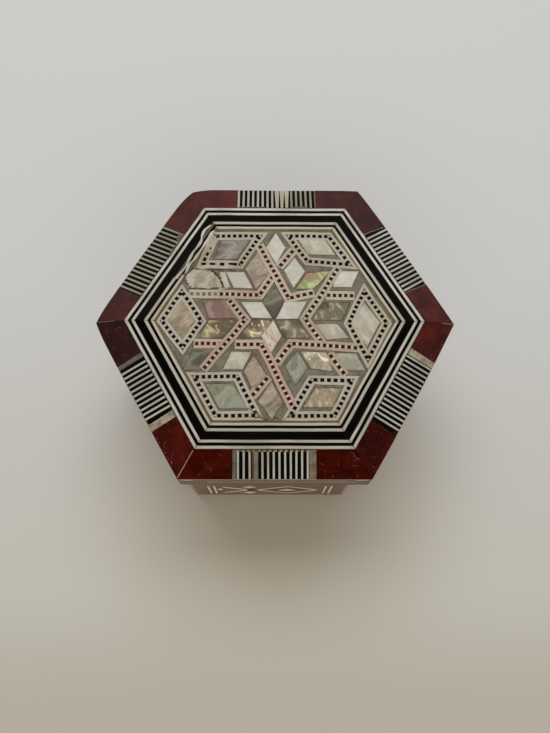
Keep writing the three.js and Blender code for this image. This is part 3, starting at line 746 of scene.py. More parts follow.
# Fillers: tone, dark and pale as screen values, and the depth of the bump in metres
FILLER_SORTS = {
    "scratch": ((126, 78, 68), (86, 40, 34), (160, 118, 106), 0.0001),
    "grey_slip": ((96, 88, 74), (70, 62, 52), (120, 110, 94), 0.0001),
    "pale_slip": ((160, 149, 126), (116, 104, 84), (204, 195, 172), 0.0002),
    "filler": ((114, 106, 88), (84, 76, 60), (142, 134, 114), 0.0001),
    "putty": ((196, 187, 166), (148, 138, 116), (232, 224, 206), 0.0005),
    "slip": ((116, 102, 82), (86, 72, 56), (154, 142, 120), 0.0001),
}


def sorted_finishes(make, sorts, given=()):
    """Makes a finish from each row of a table. Its triples of numbers are screen values."""
    for name, row in sorts.items():
        values = [srgb(*value) if isinstance(value, tuple) else value for value in row]
        if values[0] is None:
            values[0] = tuple(given[name])
        FINISHES[name] = make(name, *values)


def make_finishes(colours):
    """Every finish of the box, by name."""
    GROUPS.update(build_groups())
    sorted_finishes(shell_finish, SHELL_SORTS)
    sorted_finishes(wood_finish, WOOD_SORTS)
    sorted_finishes(filler_finish, FILLER_SORTS)
    sorted_finishes(inlay_finish, INLAY_SORTS, {"line_bone": colours.bone, "rosy_bone": colours.rosy_bone})
    tones = [tuple(min(1, c * f) for c in colours.mahogany) for f in MAHOGANY_TONES]
    FINISHES["mahogany"] = wood_finish("mahogany", *tones, True, 0.08, 0.3, 0.26, 0.2, 0.4, True)
    tones = [tuple(c * f for c, f in zip(tone, FRONT_SHARES)) for tone in tones]
    for name, sheen in FRONT_SHEENS.items():
        FINISHES[name] = wood_finish(name, *tones, True, 0.0, 0.55, 0.36, 0.02, 0.55, True, sheen)
    pile = tuple(colours.velvet)
    shadow, sheen = tuple(c * 0.45 for c in pile), tuple(min(1, c * 2.6 + 0.02) for c in pile)
    FINISHES["velvet"] = velvet_finish("velvet", pile, shadow, sheen)
    FINISHES["brass"] = brass_finish("brass", tuple(colours.brass), tuple(c * 0.5 for c in colours.brass))


# Lines and dots


def crossing(p, d, q, e):
    """Where the line through p along d meets the line through q along e."""
    share = ((q[0] - p[0]) * e[1] - (q[1] - p[1]) * e[0]) / (d[0] * e[1] - d[1] * e[0])
    return p + share * d


def strip(start, end, low_side, high_side, first_cut=None, last_cut=None):
    """Corners of a strip beside the line from start to end, between two distances to its left.

    Its ends lie along the cut directions, or square across where none is given.
    """
    start, end = np.asarray(start, float), np.asarray(end, float)
    along = (end - start) / np.linalg.norm(end - start)
    left = np.array([-along[1], along[0]])
    cuts = [left if c is None else np.asarray(c, float) for c in (first_cut, last_cut)]
    corners = []
    for side, ends in ((low_side, (0, 1)), (high_side, (1, 0))):
        for which in ends:
            corners.append(crossing(start + side * left, along, (start, end)[which], cuts[which]))
    return np.array(corners)


def row_of_squares(start, end, width, pitch, fill):
    """Corners of squares set along the line from start to end, and of the fillets between them."""
    start, end = np.asarray(start, float), np.asarray(end, float)
    length = np.linalg.norm(end - start)
    along = (end - start) / length
    left = np.array([-along[1], along[0]]) * width / 2
    count = max(1, int(round(length / pitch)))
    step = length / count
    middles = (np.arange(count) + 0.5) * step
    half = fill * step / 2
    squares, fillets = [], []
    for middle in middles:
        a, b = start + along * (middle - half), start + along * (middle + half)
        squares.append([a - left, b - left, b + left, a + left])
    bounds = np.concatenate([[0], np.stack([middles - half, middles + half], 1).ravel(), [length]])
    for lowest, highest in bounds.reshape(-1, 2):
        if highest - lowest > 0.15:
            a, b = start + along * lowest, start + along * highest
            fillets.append([a - left, b - left, b + left, a + left])
    return np.array(squares), np.array(fillets).reshape(-1, 4, 2)


# Settings


class InlaidBoxSizes(bpy.types.PropertyGroup):
    strap_width: bpy.props.FloatProperty(
        name="Strap width", description="Across a dotted strap of the star",
        default=0.0033, min=0.001, unit="LENGTH",
    )
    square_width: bpy.props.FloatProperty(
        name="Square width", description="Across the row of black squares",
        default=0.00122, min=0.0004, unit="LENGTH",
    )
    square_spacing: bpy.props.FloatProperty(
        name="Square spacing", description="From one black square to the next",
        default=0.002, min=0.001, unit="LENGTH",
    )
    cut_edge: bpy.props.FloatProperty(
        name="Cut edge", description="Radius worn on the edges of the shell pieces",
        default=0.00014, min=0.00002, unit="LENGTH",
    )
    lens: bpy.props.FloatProperty(
        name="Lens", description="Focal length of the camera", default=32.227, unit="CAMERA",
    )


class InlaidBoxColours(bpy.types.PropertyGroup):
    mahogany: bpy.props.FloatVectorProperty(
        name="Mahogany", description="Polished red rails",
        subtype="COLOR", default=srgb(74, 17, 9), min=0, max=1,
    )
    bone: bpy.props.FloatVectorProperty(
        name="Bone", description="White lines of the border",
        subtype="COLOR", default=srgb(192, 186, 174), min=0, max=1,
    )
    rosy_bone: bpy.props.FloatVectorProperty(
        name="Rosy bone", description="Straps of the star",
        subtype="COLOR", default=srgb(200, 160, 142), min=0, max=1,
    )
    velvet: bpy.props.FloatVectorProperty(
        name="Velvet", description="Lining inside",
        subtype="COLOR", default=(0.1, 0.006, 0.012), min=0, max=1,
    )
    brass: bpy.props.FloatVectorProperty(
        name="Brass", description="Hinges and screws",
        subtype="COLOR", default=(0.55, 0.38, 0.14), min=0, max=1,
    )
    floor: bpy.props.FloatVectorProperty(
        name="Floor", description="Plain pale ground",
        subtype="COLOR", default=srgb(205, 205, 204), min=0, max=1,
    )


def sizes():
    return bpy.context.scene.inlaid_box_sizes


def colours():
    return bpy.context.scene.inlaid_box_colours


class InlaidBoxOperator:
    bl_options = {"REGISTER", "UNDO"}

    def execute(self, context):
        self.make()
        return {"FINISHED"}


# Stage


# Lamps: where each hangs, its two sides, its power and its colour as screen values
LAMPS = {
    "window": ((-0.03, 0.52, 1.0), (1.1, 0.6), 7.5, (255, 254, 252)),
    "room": ((0.02, -1.15, 0.85), (1.8, 0.9), 6.2, (255, 252, 247)),
}
ROOM_STRENGTH = 0.85
# The camera's place in metres, and its turn as an axis whose length is the angle
CAMERA_PLACE = (-0.002482, -0.08633, 0.258517)
CAMERA_TURN = (0.3368, -0.0122, 0.001)
FLOOR_REACH = 1.6


class INLAIDBOX_OT_stage(InlaidBoxOperator, bpy.types.Operator):
    """Sets the floor, the soft light and the camera"""

    bl_idname = "inlaid_box.stage"
    bl_label = "Stage"

    def make(self):
        scene = bpy.context.scene
        scene.view_settings.view_transform = "Standard"
        self.floor()
        for name, (place, size, power, colour) in LAMPS.items():
            self.light(name, place, size, power, srgb(*colour))
        world = bpy.data.worlds.new("room_light")
        world.use_nodes = True
        t = Tree(world.node_tree)
        background = world.node_tree.nodes["Background"]
        height = t.axis(t.add("TexCoord").outputs["Generated"], "Z")
        room = t.mix(t.band(height, 0.45, 0.8), srgb(240, 240, 240), srgb(92, 90, 88))
        t.put(background.inputs["Color"], room)
        background.inputs["Strength"].default_value = ROOM_STRENGTH
        scene.world = world
        camera = bpy.data.cameras.new("camera")
        camera.lens = sizes().lens
        camera.sensor_width = 36.0
        camera.clip_start = 0.01
        seat = bpy.data.objects.new("camera", camera)
        turn = Vector(CAMERA_TURN)
        seat.rotation_mode = "QUATERNION"
        seat.rotation_quaternion = Quaternion(turn.normalized(), turn.length)
        seat.location = CAMERA_PLACE
        scene.collection.objects.link(seat)
        scene.camera = seat

    def light(self, name, place, size, power, color):
        lamp = bpy.data.lights.new(name, "AREA")
        lamp.shape = "RECTANGLE"
        lamp.size, lamp.size_y = size
        lamp.energy = power
        lamp.color = color
        holder = bpy.data.objects.new(name, lamp)
        holder.location = place
        holder.rotation_euler = (-Vector(place)).to_track_quat("-Z", "Y").to_euler()
        bpy.context.scene.collection.objects.link(holder)

    def floor(self):
        """Plain pale ground, painted warmer and darker to the front, and in the light that the box throws
        back.
        """
        mesh = bpy.data.meshes.new("floor")
        corners = [(x * FLOOR_REACH, y * FLOOR_REACH, 0) for x, y in ((-1, -1), (1, -1), (1, 1), (-1, 1))]
        mesh.from_pydata(corners, [], [(0, 1, 2, 3)])
        material, t, shader, place = start_finish("floor")
        # Painted light: warmer and darker towards the front
        painted_warm_light = t.band(t.axis(place, "Y"), 0.07, -0.1)
        shade = tuple(colours().floor)
        color = t.mix(painted_warm_light, shade, tuple(c * f for c, f in zip(shade, (0.95, 0.91, 0.82))))
        # Painted falloff of the light: darker and warmer still further towards the front
        far = t.band(t.axis(place, "Y"), -0.08, -0.125)
        color = t.mix(far, color, t.mix(1.0, color, (0.87, 0.84, 0.79), "MULTIPLY"))
        # Painted light and shadow at the box's front foot: warmer as light thrown back by the box, and darker
        away = t.add("VectorMath", {0: place, 1: (0.0, -0.045, 0.0)}, operation="DISTANCE").outputs["Value"]
        color = t.mix(t.band(away, 0.09, 0.01), color, t.mix(1.0, color, (0.96, 0.88, 0.74), "MULTIPLY"))
        dress(t, shader, color, 0.62, t.noise(place, 400.0, 3.0), RUBBED_BUMP)
        mesh.materials.append(material)
        ground = bpy.data.objects.new("floor", mesh)
        bpy.context.scene.collection.objects.link(ground)


# Body


def refinish(node, finish):
    """Gives one finish to a node of the frame that is kept as it is."""
    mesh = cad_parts[node].data
    mesh.materials.clear()
    mesh.materials.append(FINISHES[finish])


class INLAIDBOX_OT_woodwork(InlaidBoxOperator, bpy.types.Operator):
    """Gives the walls, base, lid board and outer veneer their woods"""

    bl_idname = "inlaid_box.woodwork"
    bl_label = "Woodwork"

    def make(self):
        for node in [side + "_wall" for side in SIDES] + ["base_board", "lid_board"]:
            refinish(node, "plain_wood")
        refinish("wall_veneer", "side_veneer")


ORNAMENT_ROWS = (12.6, 33.4)
BAR_PLACES = (-22.2, -20.1, 20.4, 22.5)
BAR_WIDTH = 0.85
BAR_REACH = 8.6
# One row along the wall: where its bands cross, the diamond they outline on the right (centre, half width,
# half height), and where the ends of the left arms lie (place, rise)
CROSSING_X = -7.0
DIAMOND = (6.6, 11.6, 7.6)
LEFT_ARMS = (-17.0, 6.2)
BAND_WIDTH = 2.1
WALL_INLAY = {"thick": 0.3, "edge": 0.03, "rim": 0.2}


class INLAIDBOX_OT_wall_ornament(InlaidBoxOperator, bpy.types.Operator):
    """Inlays each wall with two rows of diamonds between pairs of upright lines"""

    bl_idname = "inlaid_box.wall_ornament"
    bl_label = "Wall ornament"

    def make(self):
        for k, side in enumerate(SIDES):
            stock = Stock()
            for row, middle in enumerate(ORNAMENT_ROWS):
                self.row(stock, k, middle, 10 * k + row)
            edge = BODY_APOTHEM * HALF_SIDE - 0.42
            place = on_side(k, BODY_APOTHEM + 0.03, BODY_X)
            lines = [strip((x, BODY_FOOT + 0.3), (x, BODY_TOP - 0.3), -0.3, 0.3) for x in (-edge, edge)]
            tiles(stock, lines, place, 0.3, 0.05, (12, 1), finish=2, seed=k, rim=0.2)
            finishes = ("wall_bone", "brown_horn", "aged_bone")
            stock.piece(side + "_wall_ornament", BODY, finishes, "white_bone")

    def row(self, stock, k, middle, seed):
        """Dark surrounds first, then the pale bands a little higher, then the small diamonds."""
        centre, half, rise = DIAMOND
        arm_x, arm_rise = LEFT_ARMS
        bands = []
        for sign in (-1, 1):
            bands.append(((arm_x, middle + sign * arm_rise), (CROSSING_X, middle)))
            bands.append(((centre - half, middle), (centre, middle + sign * rise)))
            bands.append(((centre, middle + sign * rise), (centre + half, middle)))
        bars = [((x, middle - BAR_REACH), (x, middle + BAR_REACH)) for x in BAR_PLACES]
        upright = (0, 1)
        for level, widen, finish in ((0.02, 0.55, 1), (0.04, 0.0, 0)):
            place = on_side(k, BODY_APOTHEM + level, BODY_X)
            wide, narrow = (BAND_WIDTH / 2 + widen) * 0.8, BAR_WIDTH / 2 + 0.6 * widen
            slanting = [strip(a, b, -wide, wide, upright, upright) for a, b in bands]
            for lines in (slanting, [strip(a, b, -narrow, narrow) for a, b in bars]):
                tiles(stock, lines, place, cuts=(6, 1), finish=finish, seed=seed, **WALL_INLAY)
        dark = [self.diamond(centre, middle, 7.4, 5.2), self.diamond(CROSSING_X, middle, 2.0, 3.4)]
        pale = [self.diamond(centre, middle, 3.9, 2.9), self.diamond(-18.2, middle + 1.4, 1.2, 2.3)]
        pale += [self.diamond(CROSSING_X - 0.4, middle + sign * 6.3, 2.6, 2.4) for sign in (-1, 1)]
        for shapes, level, finish, sort_seed in ((dark, 0.05, 1, seed), (pale, 0.07, 0, seed + 1)):
            place = on_side(k, BODY_APOTHEM + level, BODY_X)
            tiles(stock, shapes, place, finish=finish, seed=sort_seed, **WALL_INLAY)

    def diamond(self, t, z, half_width, half_height):
        return [(t - half_width, z), (t, z - half_height), (t + half_width, z), (t, z + half_height)]


# The rounded edge of a velvet pad: how far in, and how far down
PAD_EDGE = ((0.0, 0.55), (0.08, 0.34), (0.25, 0.16), (0.55, 0.04), (1.0, 0.0))


class INLAIDBOX_OT_lining(InlaidBoxOperator, bpy.types.Operator):
    """Lines the floor, the walls and the lid with velvet laid over thin wadding"""

    bl_idname = "inlaid_box.lining"
    bl_label = "Velvet lining"

    def make(self):
        """Pads lie on the floor and, upside down, under the lid's lining, and a third goes round the wall."""
        floor_top = high("floor_lining", 2)

        def soft_floor(x, y):
            return floor_top - 0.06 + waver(0.5 * x, 0.5 * y, 0.03, 5.0)

        stock = Stock()
        apothem, bottom = -low("floor_lining", 1), low("floor_lining", 2)
        hexagon_plate(stock, apothem, bottom, soft_floor, BODY_X, 40, PAD_EDGE)
        pad = stock.piece("floor_velvet", BODY, ("velvet",), "velvet", ("floor_lining",))

        lid_low, lid_high = low("lid_lining", 2), high("lid_lining", 2)

        def soft_lid(x, y):
            return lid_high - (lid_low + 0.06 - waver(0.5 * x, 0.5 * y, 0.03, 1.0))

        stock = Stock()
        hexagon_plate(stock, -low("lid_lining", 1), 0.0, soft_lid, 0.0, 40, PAD_EDGE)
        for points in stock.points:
            points[:, 2] = lid_high - points[:, 2]
        stock.faces = [(faces[:, ::-1], finish, smooth) for faces, finish, smooth in stock.faces]
        pad = stock.piece("lid_velvet", LID, ("velvet",), "velvet", ("lid_lining",))
        self.walls()

    def walls(self):
        """The wall's lining: a rounded upright profile carried once round the six sides."""
        bottom, top = low("wall_lining", 2), high("wall_lining", 2)
        outer = -low("wall_lining", 1)
        inner = outer - 1.0
        rise = np.linspace(bottom, top - 0.6, 24)
        inside = np.stack([inner + 0.06 * np.sin((rise - bottom) * 0.5) + 0.06, rise], 1)
        turn = np.linspace(0, math.pi, 9)
        cap = np.stack([(inner + outer) / 2 - 0.44 * np.cos(turn), top - 0.5 + 0.5 * np.sin(turn)], 1)
        outside = np.array([[outer, top - 0.6], [outer, bottom]])
        profile = np.concatenate([inside, cap, outside])
        ring = hexagon_ring(24)
        soft = 1 - 0.0012 * np.abs(np.sin(np.arange(len(ring)) * 0.9))[:, None]
        spread = profile[None, :, 0] * np.where(profile[None, :, 0] < outer - 0.5, soft, 1.0)
        x = BODY_X + spread * ring[:, None, 0]
        y = spread * ring[:, None, 1]
        rows = np.stack([x, y, np.broadcast_to(profile[None, :, 1], x.shape)], -1)
        stock = Stock()
        loft(stock, rows, closed=True)
        return stock.piece("wall_velvet", BODY, ("velvet",), "velvet", ("wall_lining",))


# Lid


POCKET_DEPTH = 1.3
ARRIS_ROUND = 0.22
LINE_FOOT = 54.7
LINE_TOP = 55.3
# The finish of the sides nearest the front; the others are plain mahogany
RAIL_WOODS = {"front": "front_mahogany", "front_left": "left_mahogany", "front_right": "right_mahogany"}
# How light the wood is of each side's left and right half, from 0 to 1: partly the tone of each half's own
# piece of wood, partly painted glare where a half caught the light
RAIL_TONE_AND_GLARE = {
    "front": (0.5, 0.3), "front_right": (0.42, 0.8), "back_right": (0.6, 0.18),
    "back": (0.3, 0.75), "back_left": (0.6, 0.3), "front_left": (0.2, 0.66),
}
# Where a side's right mitre shows a pale line: the apothem it starts from, and its width
MITRE_LINES = {"front_left": (43.9, 0.28), "front_right": (48.6, 0.16), "back_left": (46.5, 0.1)}
# Scratches as (t, apothem) paths, flakes lost near the arris (from, to, how many), and chips of the upright
# face as (t, height) corners and the finish that shows
SCRATCHES = {
    "front": (((23.4, 44.2), (24.9, 44.9), (24.2, 45.3), (26.0, 46.1), (25.0, 46.5), (24.4, 47.0)),
              ((24.2, 48.2), (25.8, 48.2)), ((13.6, 47.2), (14.9, 47.9)), ((-20.6, 48.6), (-19.6, 49.9))),
    "front_left": (((22.0, 49.3), (23.4, 50.6)), ((18.1, 50.0), (18.9, 51.4))),
}
CHIPPED = {"front_left": (12.0, 27.0, 15), "front": (-27.0, 27.0, 9), "front_right": (-24.0, 24.0, 5)}
FACE_CHIPS = {
    "front": (
        (((-29.9, 54.6), (-29.0, 53.6), (-25.4, 53.5), (-26.2, 54.6)), 2),
        (((-30.0, 53.9), (-28.9, 52.6), (-28.0, 52.6), (-29.1, 53.8)), 3),
        (((22.4, 52.6), (24.2, 53.9), (25.4, 53.5), (24.1, 53.4)), 3),
        (((25.6, 53.2), (29.7, 54.6), (27.2, 54.5), (25.2, 54.0)), 2),
    ),
}
# What a scratch or a flake shows, as a place in the rail's list of finishes
SCRATCH_FINISH = 4
# Notches in the back rail: the swing round the pin, and the room over a leaf and where it begins
NOTCH_RADIUS = 1.8
LEAF_ROOM = 0.9
LEAF_INNER = 44.18
# The middle of a rail has even stations this far each way, and from there on they spread to the mitre
MIDDLE_REACH = 22
MITRE_STEPS = 6
RAIL_SKIN = LID_APOTHEM - 0.05
# The pale line let into the upright face: its two ends, its lower and its upper edge
SKIN_LINE = (-21.4, 26.0, 50.3, 51.3)


def oblong(left, right, bottom, top):
    """Corners of an oblong from its two ends and its lower and upper edge."""
    return [(left, bottom), (right, bottom), (right, top), (left, top)]


class INLAIDBOX_OT_rails(InlaidBoxOperator, bpy.types.Operator):
    """Shapes the six mitred mahogany rails, with the block's pocket and the hinges' notches"""

    bl_idname = "inlaid_box.rails"
    bl_label = "Mahogany rails"

    def make(self):
        pins = ("hinge_left_pin", "hinge_right_pin")
        notches = [(-high(pin, 0) - 0.3, -low(pin, 0) + 0.3) for pin in pins]
        for k, side in enumerate(SIDES):
            self.rail(k, side, notches if side == "back" else ())

    def profile(self):
        """Points (apothem, height) once round a rail: underside, arris, slope and inner edge."""
        turn = np.linspace(0, math.pi / 2, 5)
        round_top = rim_height(RAIL_SKIN - ARRIS_ROUND)
        arris_a = RAIL_SKIN - ARRIS_ROUND * (1 - np.cos(turn))
        arris = np.stack([arris_a, round_top - ARRIS_ROUND * (1 - np.sin(turn))], 1)
        skirt = [[RAIL_SKIN - 0.4, LINE_FOOT - 0.2], [RAIL_SKIN - 0.4, LINE_FOOT]]
        slope_a = np.concatenate([np.linspace(RAIL_SKIN - 0.5, RIM_INNER - 0.06, 20), [RIM_INNER - 0.1]])
        slope = np.stack([slope_a, rim_height(slope_a)], 1)
        inner = [[RIM_INNER - 0.1, BOARD_BOTTOM], [LEDGE_APOTHEM, BOARD_BOTTOM]]
        under_a = [LEDGE_APOTHEM, LEAF_INNER - 0.02, LEAF_INNER, PIN_Y - NOTCH_RADIUS]
        under_a += list(PIN_Y - NOTCH_RADIUS * np.cos(np.linspace(0, math.pi, 11)[1:])) + [RAIL_SKIN - 0.4]
        return np.concatenate([[[a, LID_BOTTOM] for a in under_a], skirt, arris, slope, inner])

    def notched(self, a, z, station, notches):
        """Heights with the underside raised over each hinge: round its pin, sqrt(r^2 - (a - pin)^2) up,
        and level over its leaf."""
        swing = np.sqrt(np.clip(NOTCH_RADIUS**2 - (a - PIN_Y) ** 2, 0, None))
        leaf = (a > LEAF_INNER - 0.001) & (a < PIN_Y + 0.01)
        room = np.where(leaf, PIN_Z + 0.1 + LEAF_ROOM, LID_BOTTOM)
        room = np.maximum(room, np.where(np.abs(a - PIN_Y) < NOTCH_RADIUS, PIN_Z + swing, LID_BOTTOM))
        bottom = z < LID_BOTTOM + 0.01
        for start, end in notches:
            inside = (station > start - 0.001) & (station < end + 0.001) & bottom
            z = np.where(inside, np.maximum(z, room), z)
        return z

    def rail(self, k, side, notches):
        """The profile goes round the rail, and t runs along it. The outer parts stretch towards the
        mitre: t = 22 + (apothem * tan 30 - 22) * w for w from 0 to 1."""
        profile = self.profile()
        first, last = BLOCKS[side][0]
        stations = [first, first + 0.03, last - 0.03, last]
        stations += list(np.linspace(-MIDDLE_REACH, MIDDLE_REACH, 45))
        for start, end in notches:
            stations += [start, end, start - 0.02, end + 0.02]
        stations = np.unique(np.round(np.clip(stations, -MIDDLE_REACH, MIDDLE_REACH), 3))
        a = profile[None, :, 0]
        middle = np.broadcast_to(stations[:, None], (len(stations), len(profile)))
        outer = np.linspace(0, 1, MITRE_STEPS + 1)[1:, None]
        reach = MIDDLE_REACH + (a * HALF_SIDE - 0.03 - MIDDLE_REACH) * outer
        t = np.concatenate([-reach[::-1], middle, reach])
        a = np.broadcast_to(a, t.shape)
        z = np.broadcast_to(profile[None, :, 1], t.shape).copy()
        beyond = np.full(MITRE_STEPS, 30.0)
        station = np.concatenate([-beyond, stations, beyond])[:, None]
        top = (z > LID_TOP - 4) & (a > RIM_INNER - 0.07) & (a < RAIL_SKIN - 0.45)
        z = z + np.where(top, waver(0.5 * t, a, 0.02, k + 1.0) - 0.03, 0.0)
        in_block = (station > first + 0.01) & (station < last - 0.01)
        in_block = in_block & (top | (z > LINE_FOOT + 0.01) & (a > RAIL_SKIN - 0.45))
        z = z - np.where(in_block, POCKET_DEPTH, 0.0)
        z = self.notched(a, z, station, notches)
        a, t = bowed(k, a, t)
        (nx, ny), (tx, ty) = side_axes(k)
        rows = np.stack([a * nx + t * tx, a * ny + t * ty, z], -1)
        near = np.minimum(np.abs(t - first), np.abs(t - last))
        stock = Stock()
        # The lightness of each half: its own tone, and painted glare too
        shade = np.where(t < (first + last) / 2, *RAIL_TONE_AND_GLARE[side])
        loft(stock, rows, rim=np.clip(1 - near / 0.6, 0, 1) * (z > 50), shade=shade)
        self.side_skin(stock, k)
        self.mitre_line(stock, k)
        self.scars(stock, k)
        wood = RAIL_WOODS.get(side, "mahogany")
        finishes = (wood, "lid_side_veneer", "aged_bone", "brown_horn", "scratch")
        stock.piece(side + "_rail_wood", LID, finishes, "mahogany", (side + "_rail",))

    def side_skin(self, stock, k):
        """The rail's upright face: a veneer, a pale line let into it and a pale line at the arris."""
        edge = LID_APOTHEM * HALF_SIDE
        veneer = oblong(-edge + 0.02, edge - 0.02, LID_BOTTOM + 0.05, LINE_FOOT)
        skin = on_side(k, LID_APOTHEM - 0.04, 0.0, True)
        tiles(stock, [veneer], skin, 0.35, 0.05, (40, 4), finish=1, seed=k)
        line = on_side(k, LID_APOTHEM - 0.01, 0.0, True)
        tiles(stock, [oblong(*SKIN_LINE)], line, 0.2, 0.05, (40, 1), finish=2, seed=k, rim=0.15)
        arris = oblong(-edge + 0.05, edge - 0.05, LINE_FOOT + 0.02, LINE_TOP)
        tiles(stock, [arris], line, 0.35, 0.08, (40, 1), finish=2, seed=k, rim=0.1)

    def scars(self, stock, k):
        """Straight slivers on the slope for scratches, flakes near the arris and chips of the face."""
        side = SIDES[k]
        shallow = {"thick": 0.2, "edge": 0.01, "seed": k, "rim": 0.01}
        rim = on_rim(k)
        for path in SCRATCHES.get(side, ()):
            for ends in zip(path[:-1], path[1:]):
                tiles(stock, [strip(*ends, -0.05, 0.05)], rim, cuts=(4, 1), finish=SCRATCH_FINISH, **shallow)
        if side in CHIPPED:
            low_end, high_end, count = CHIPPED[side]
            rng = np.random.default_rng(50 + k)
            along = rng.uniform(low_end, high_end, count)
            middles = np.stack([along, ARRIS_APOTHEM - 0.35 - rng.exponential(0.4, count)], -1)
            angle = rng.uniform(0, 2 * math.pi, (count, 1)) + np.array([0.0, 1.4, 3.1, 4.6])
            size = rng.uniform(0.06, 0.2, (count, 1))
            flakes = middles[:, None] + np.stack([1.5 * size * np.cos(angle), size * np.sin(angle)], -1)
            tiles(stock, flakes, rim, cuts=(1, 1), finish=SCRATCH_FINISH, **shallow)
        face = on_side(k, LID_APOTHEM - 0.015, 0.0, True)
        for flake, finish in FACE_CHIPS.get(side, ()):
            tiles(stock, [flake], face, finish=finish, **shallow)

    def mitre_line(self, stock, k):
        """A thin pale line in the mitre at the side's right end, where one was let in."""
        reach = MITRE_LINES.get(SIDES[k])
        if reach is None:
            return
        start, width = reach
        outer = ARRIS_APOTHEM - 0.25
        corners = [(start * HALF_SIDE - 0.05, start), (outer * HALF_SIDE - 0.05, outer)]
        corners += [(outer * HALF_SIDE - 0.05 - width, outer), (start * HALF_SIDE - 0.05 - width, start)]
        tiles(stock, [corners], on_rim(k, 0.03), 0.3, 0.03, (12, 1), finish=2, seed=k, rim=0.1)


DOTS_DEPTH = 0.62
# Worn patches rubbed over the inner end of the stripes: from, to, depth
SMEARS = {
    "back_left": ((-12.4, -8.6, 1.9), (-8.8, -3.0, 0.5)),
    "back": ((3.0, 13.0, 0.45), (-12.0, -6.0, 0.6)),
}
# Striped blocks, in millimetres: their two ends, runs of white veneers as (middle of the first, spacing,
# number, finish), how far the stripes lean towards their outer end, and slips as (from, to, finish)
BLOCKS = {
    "front": (
        (-13.25, 12.9), ((-11.5, 1.79, 3, 0), (-3.92, 1.761, 9, 0)), 0.05,
        ((-13.2, -11.95, 4), (-7.3, -6.6, 6), (-6.6, -5.2, 3), (10.65, 12.85, 3)),
    ),
    "front_right": ((-13.9, 14.2), ((-12.33, 1.667, 15, 0),), 0.33, ((11.7, 14.15, 5),)),
    "back_right": ((-13.25, 13.05), ((-12.08, 1.637, 15, 0),), 0.75, ((-13.2, -12.75, 4), (12.6, 13.0, 5))),
    "back": (
        (-14.6, 13.25), ((-12.8, 1.706, 5, 8), (-4.27, 1.706, 3, 7), (0.85, 1.706, 8, 0)), 0.05,
        ((-14.55, -14.1, 3),),
    ),
    "back_left": ((-12.5, 15.1), ((-12.0, 1.745, 16, 8),), 0.05, ()),
    "front_left": ((-12.05, 12.85), ((-8.58, 1.733, 11, 0),), -0.42, ((-12.0, -10.3, 4), (10.35, 12.8, 5))),
}
WHITE_WIDTH = 0.76
# How much narrower the white veneers are on the sides nearest the front, which also have their black
# darkened as painted shade
WHITE_SHARES = {"front": 0.84, "front_right": 0.87, "front_left": 0.93}
STRIPE_FINISHES = (
    "stripe_bone", "black_veneer", "yellowed_bone", "slip", "grey_slip", "pale_slip", "brown_horn",
    "frame_bone", "grey_bone",
)
# Places in that list: the black, the slips, and the white veneers that spread to WIDE_FOOT at the arris
BLACK = 1
SLIPS = (3, 4, 5)
SPREAD = 7
WIDE_FOOT = 1.75
BLOCK_OUTER = ARRIS_APOTHEM - 0.12
BLOCK_INNER = RIM_INNER + 0.02


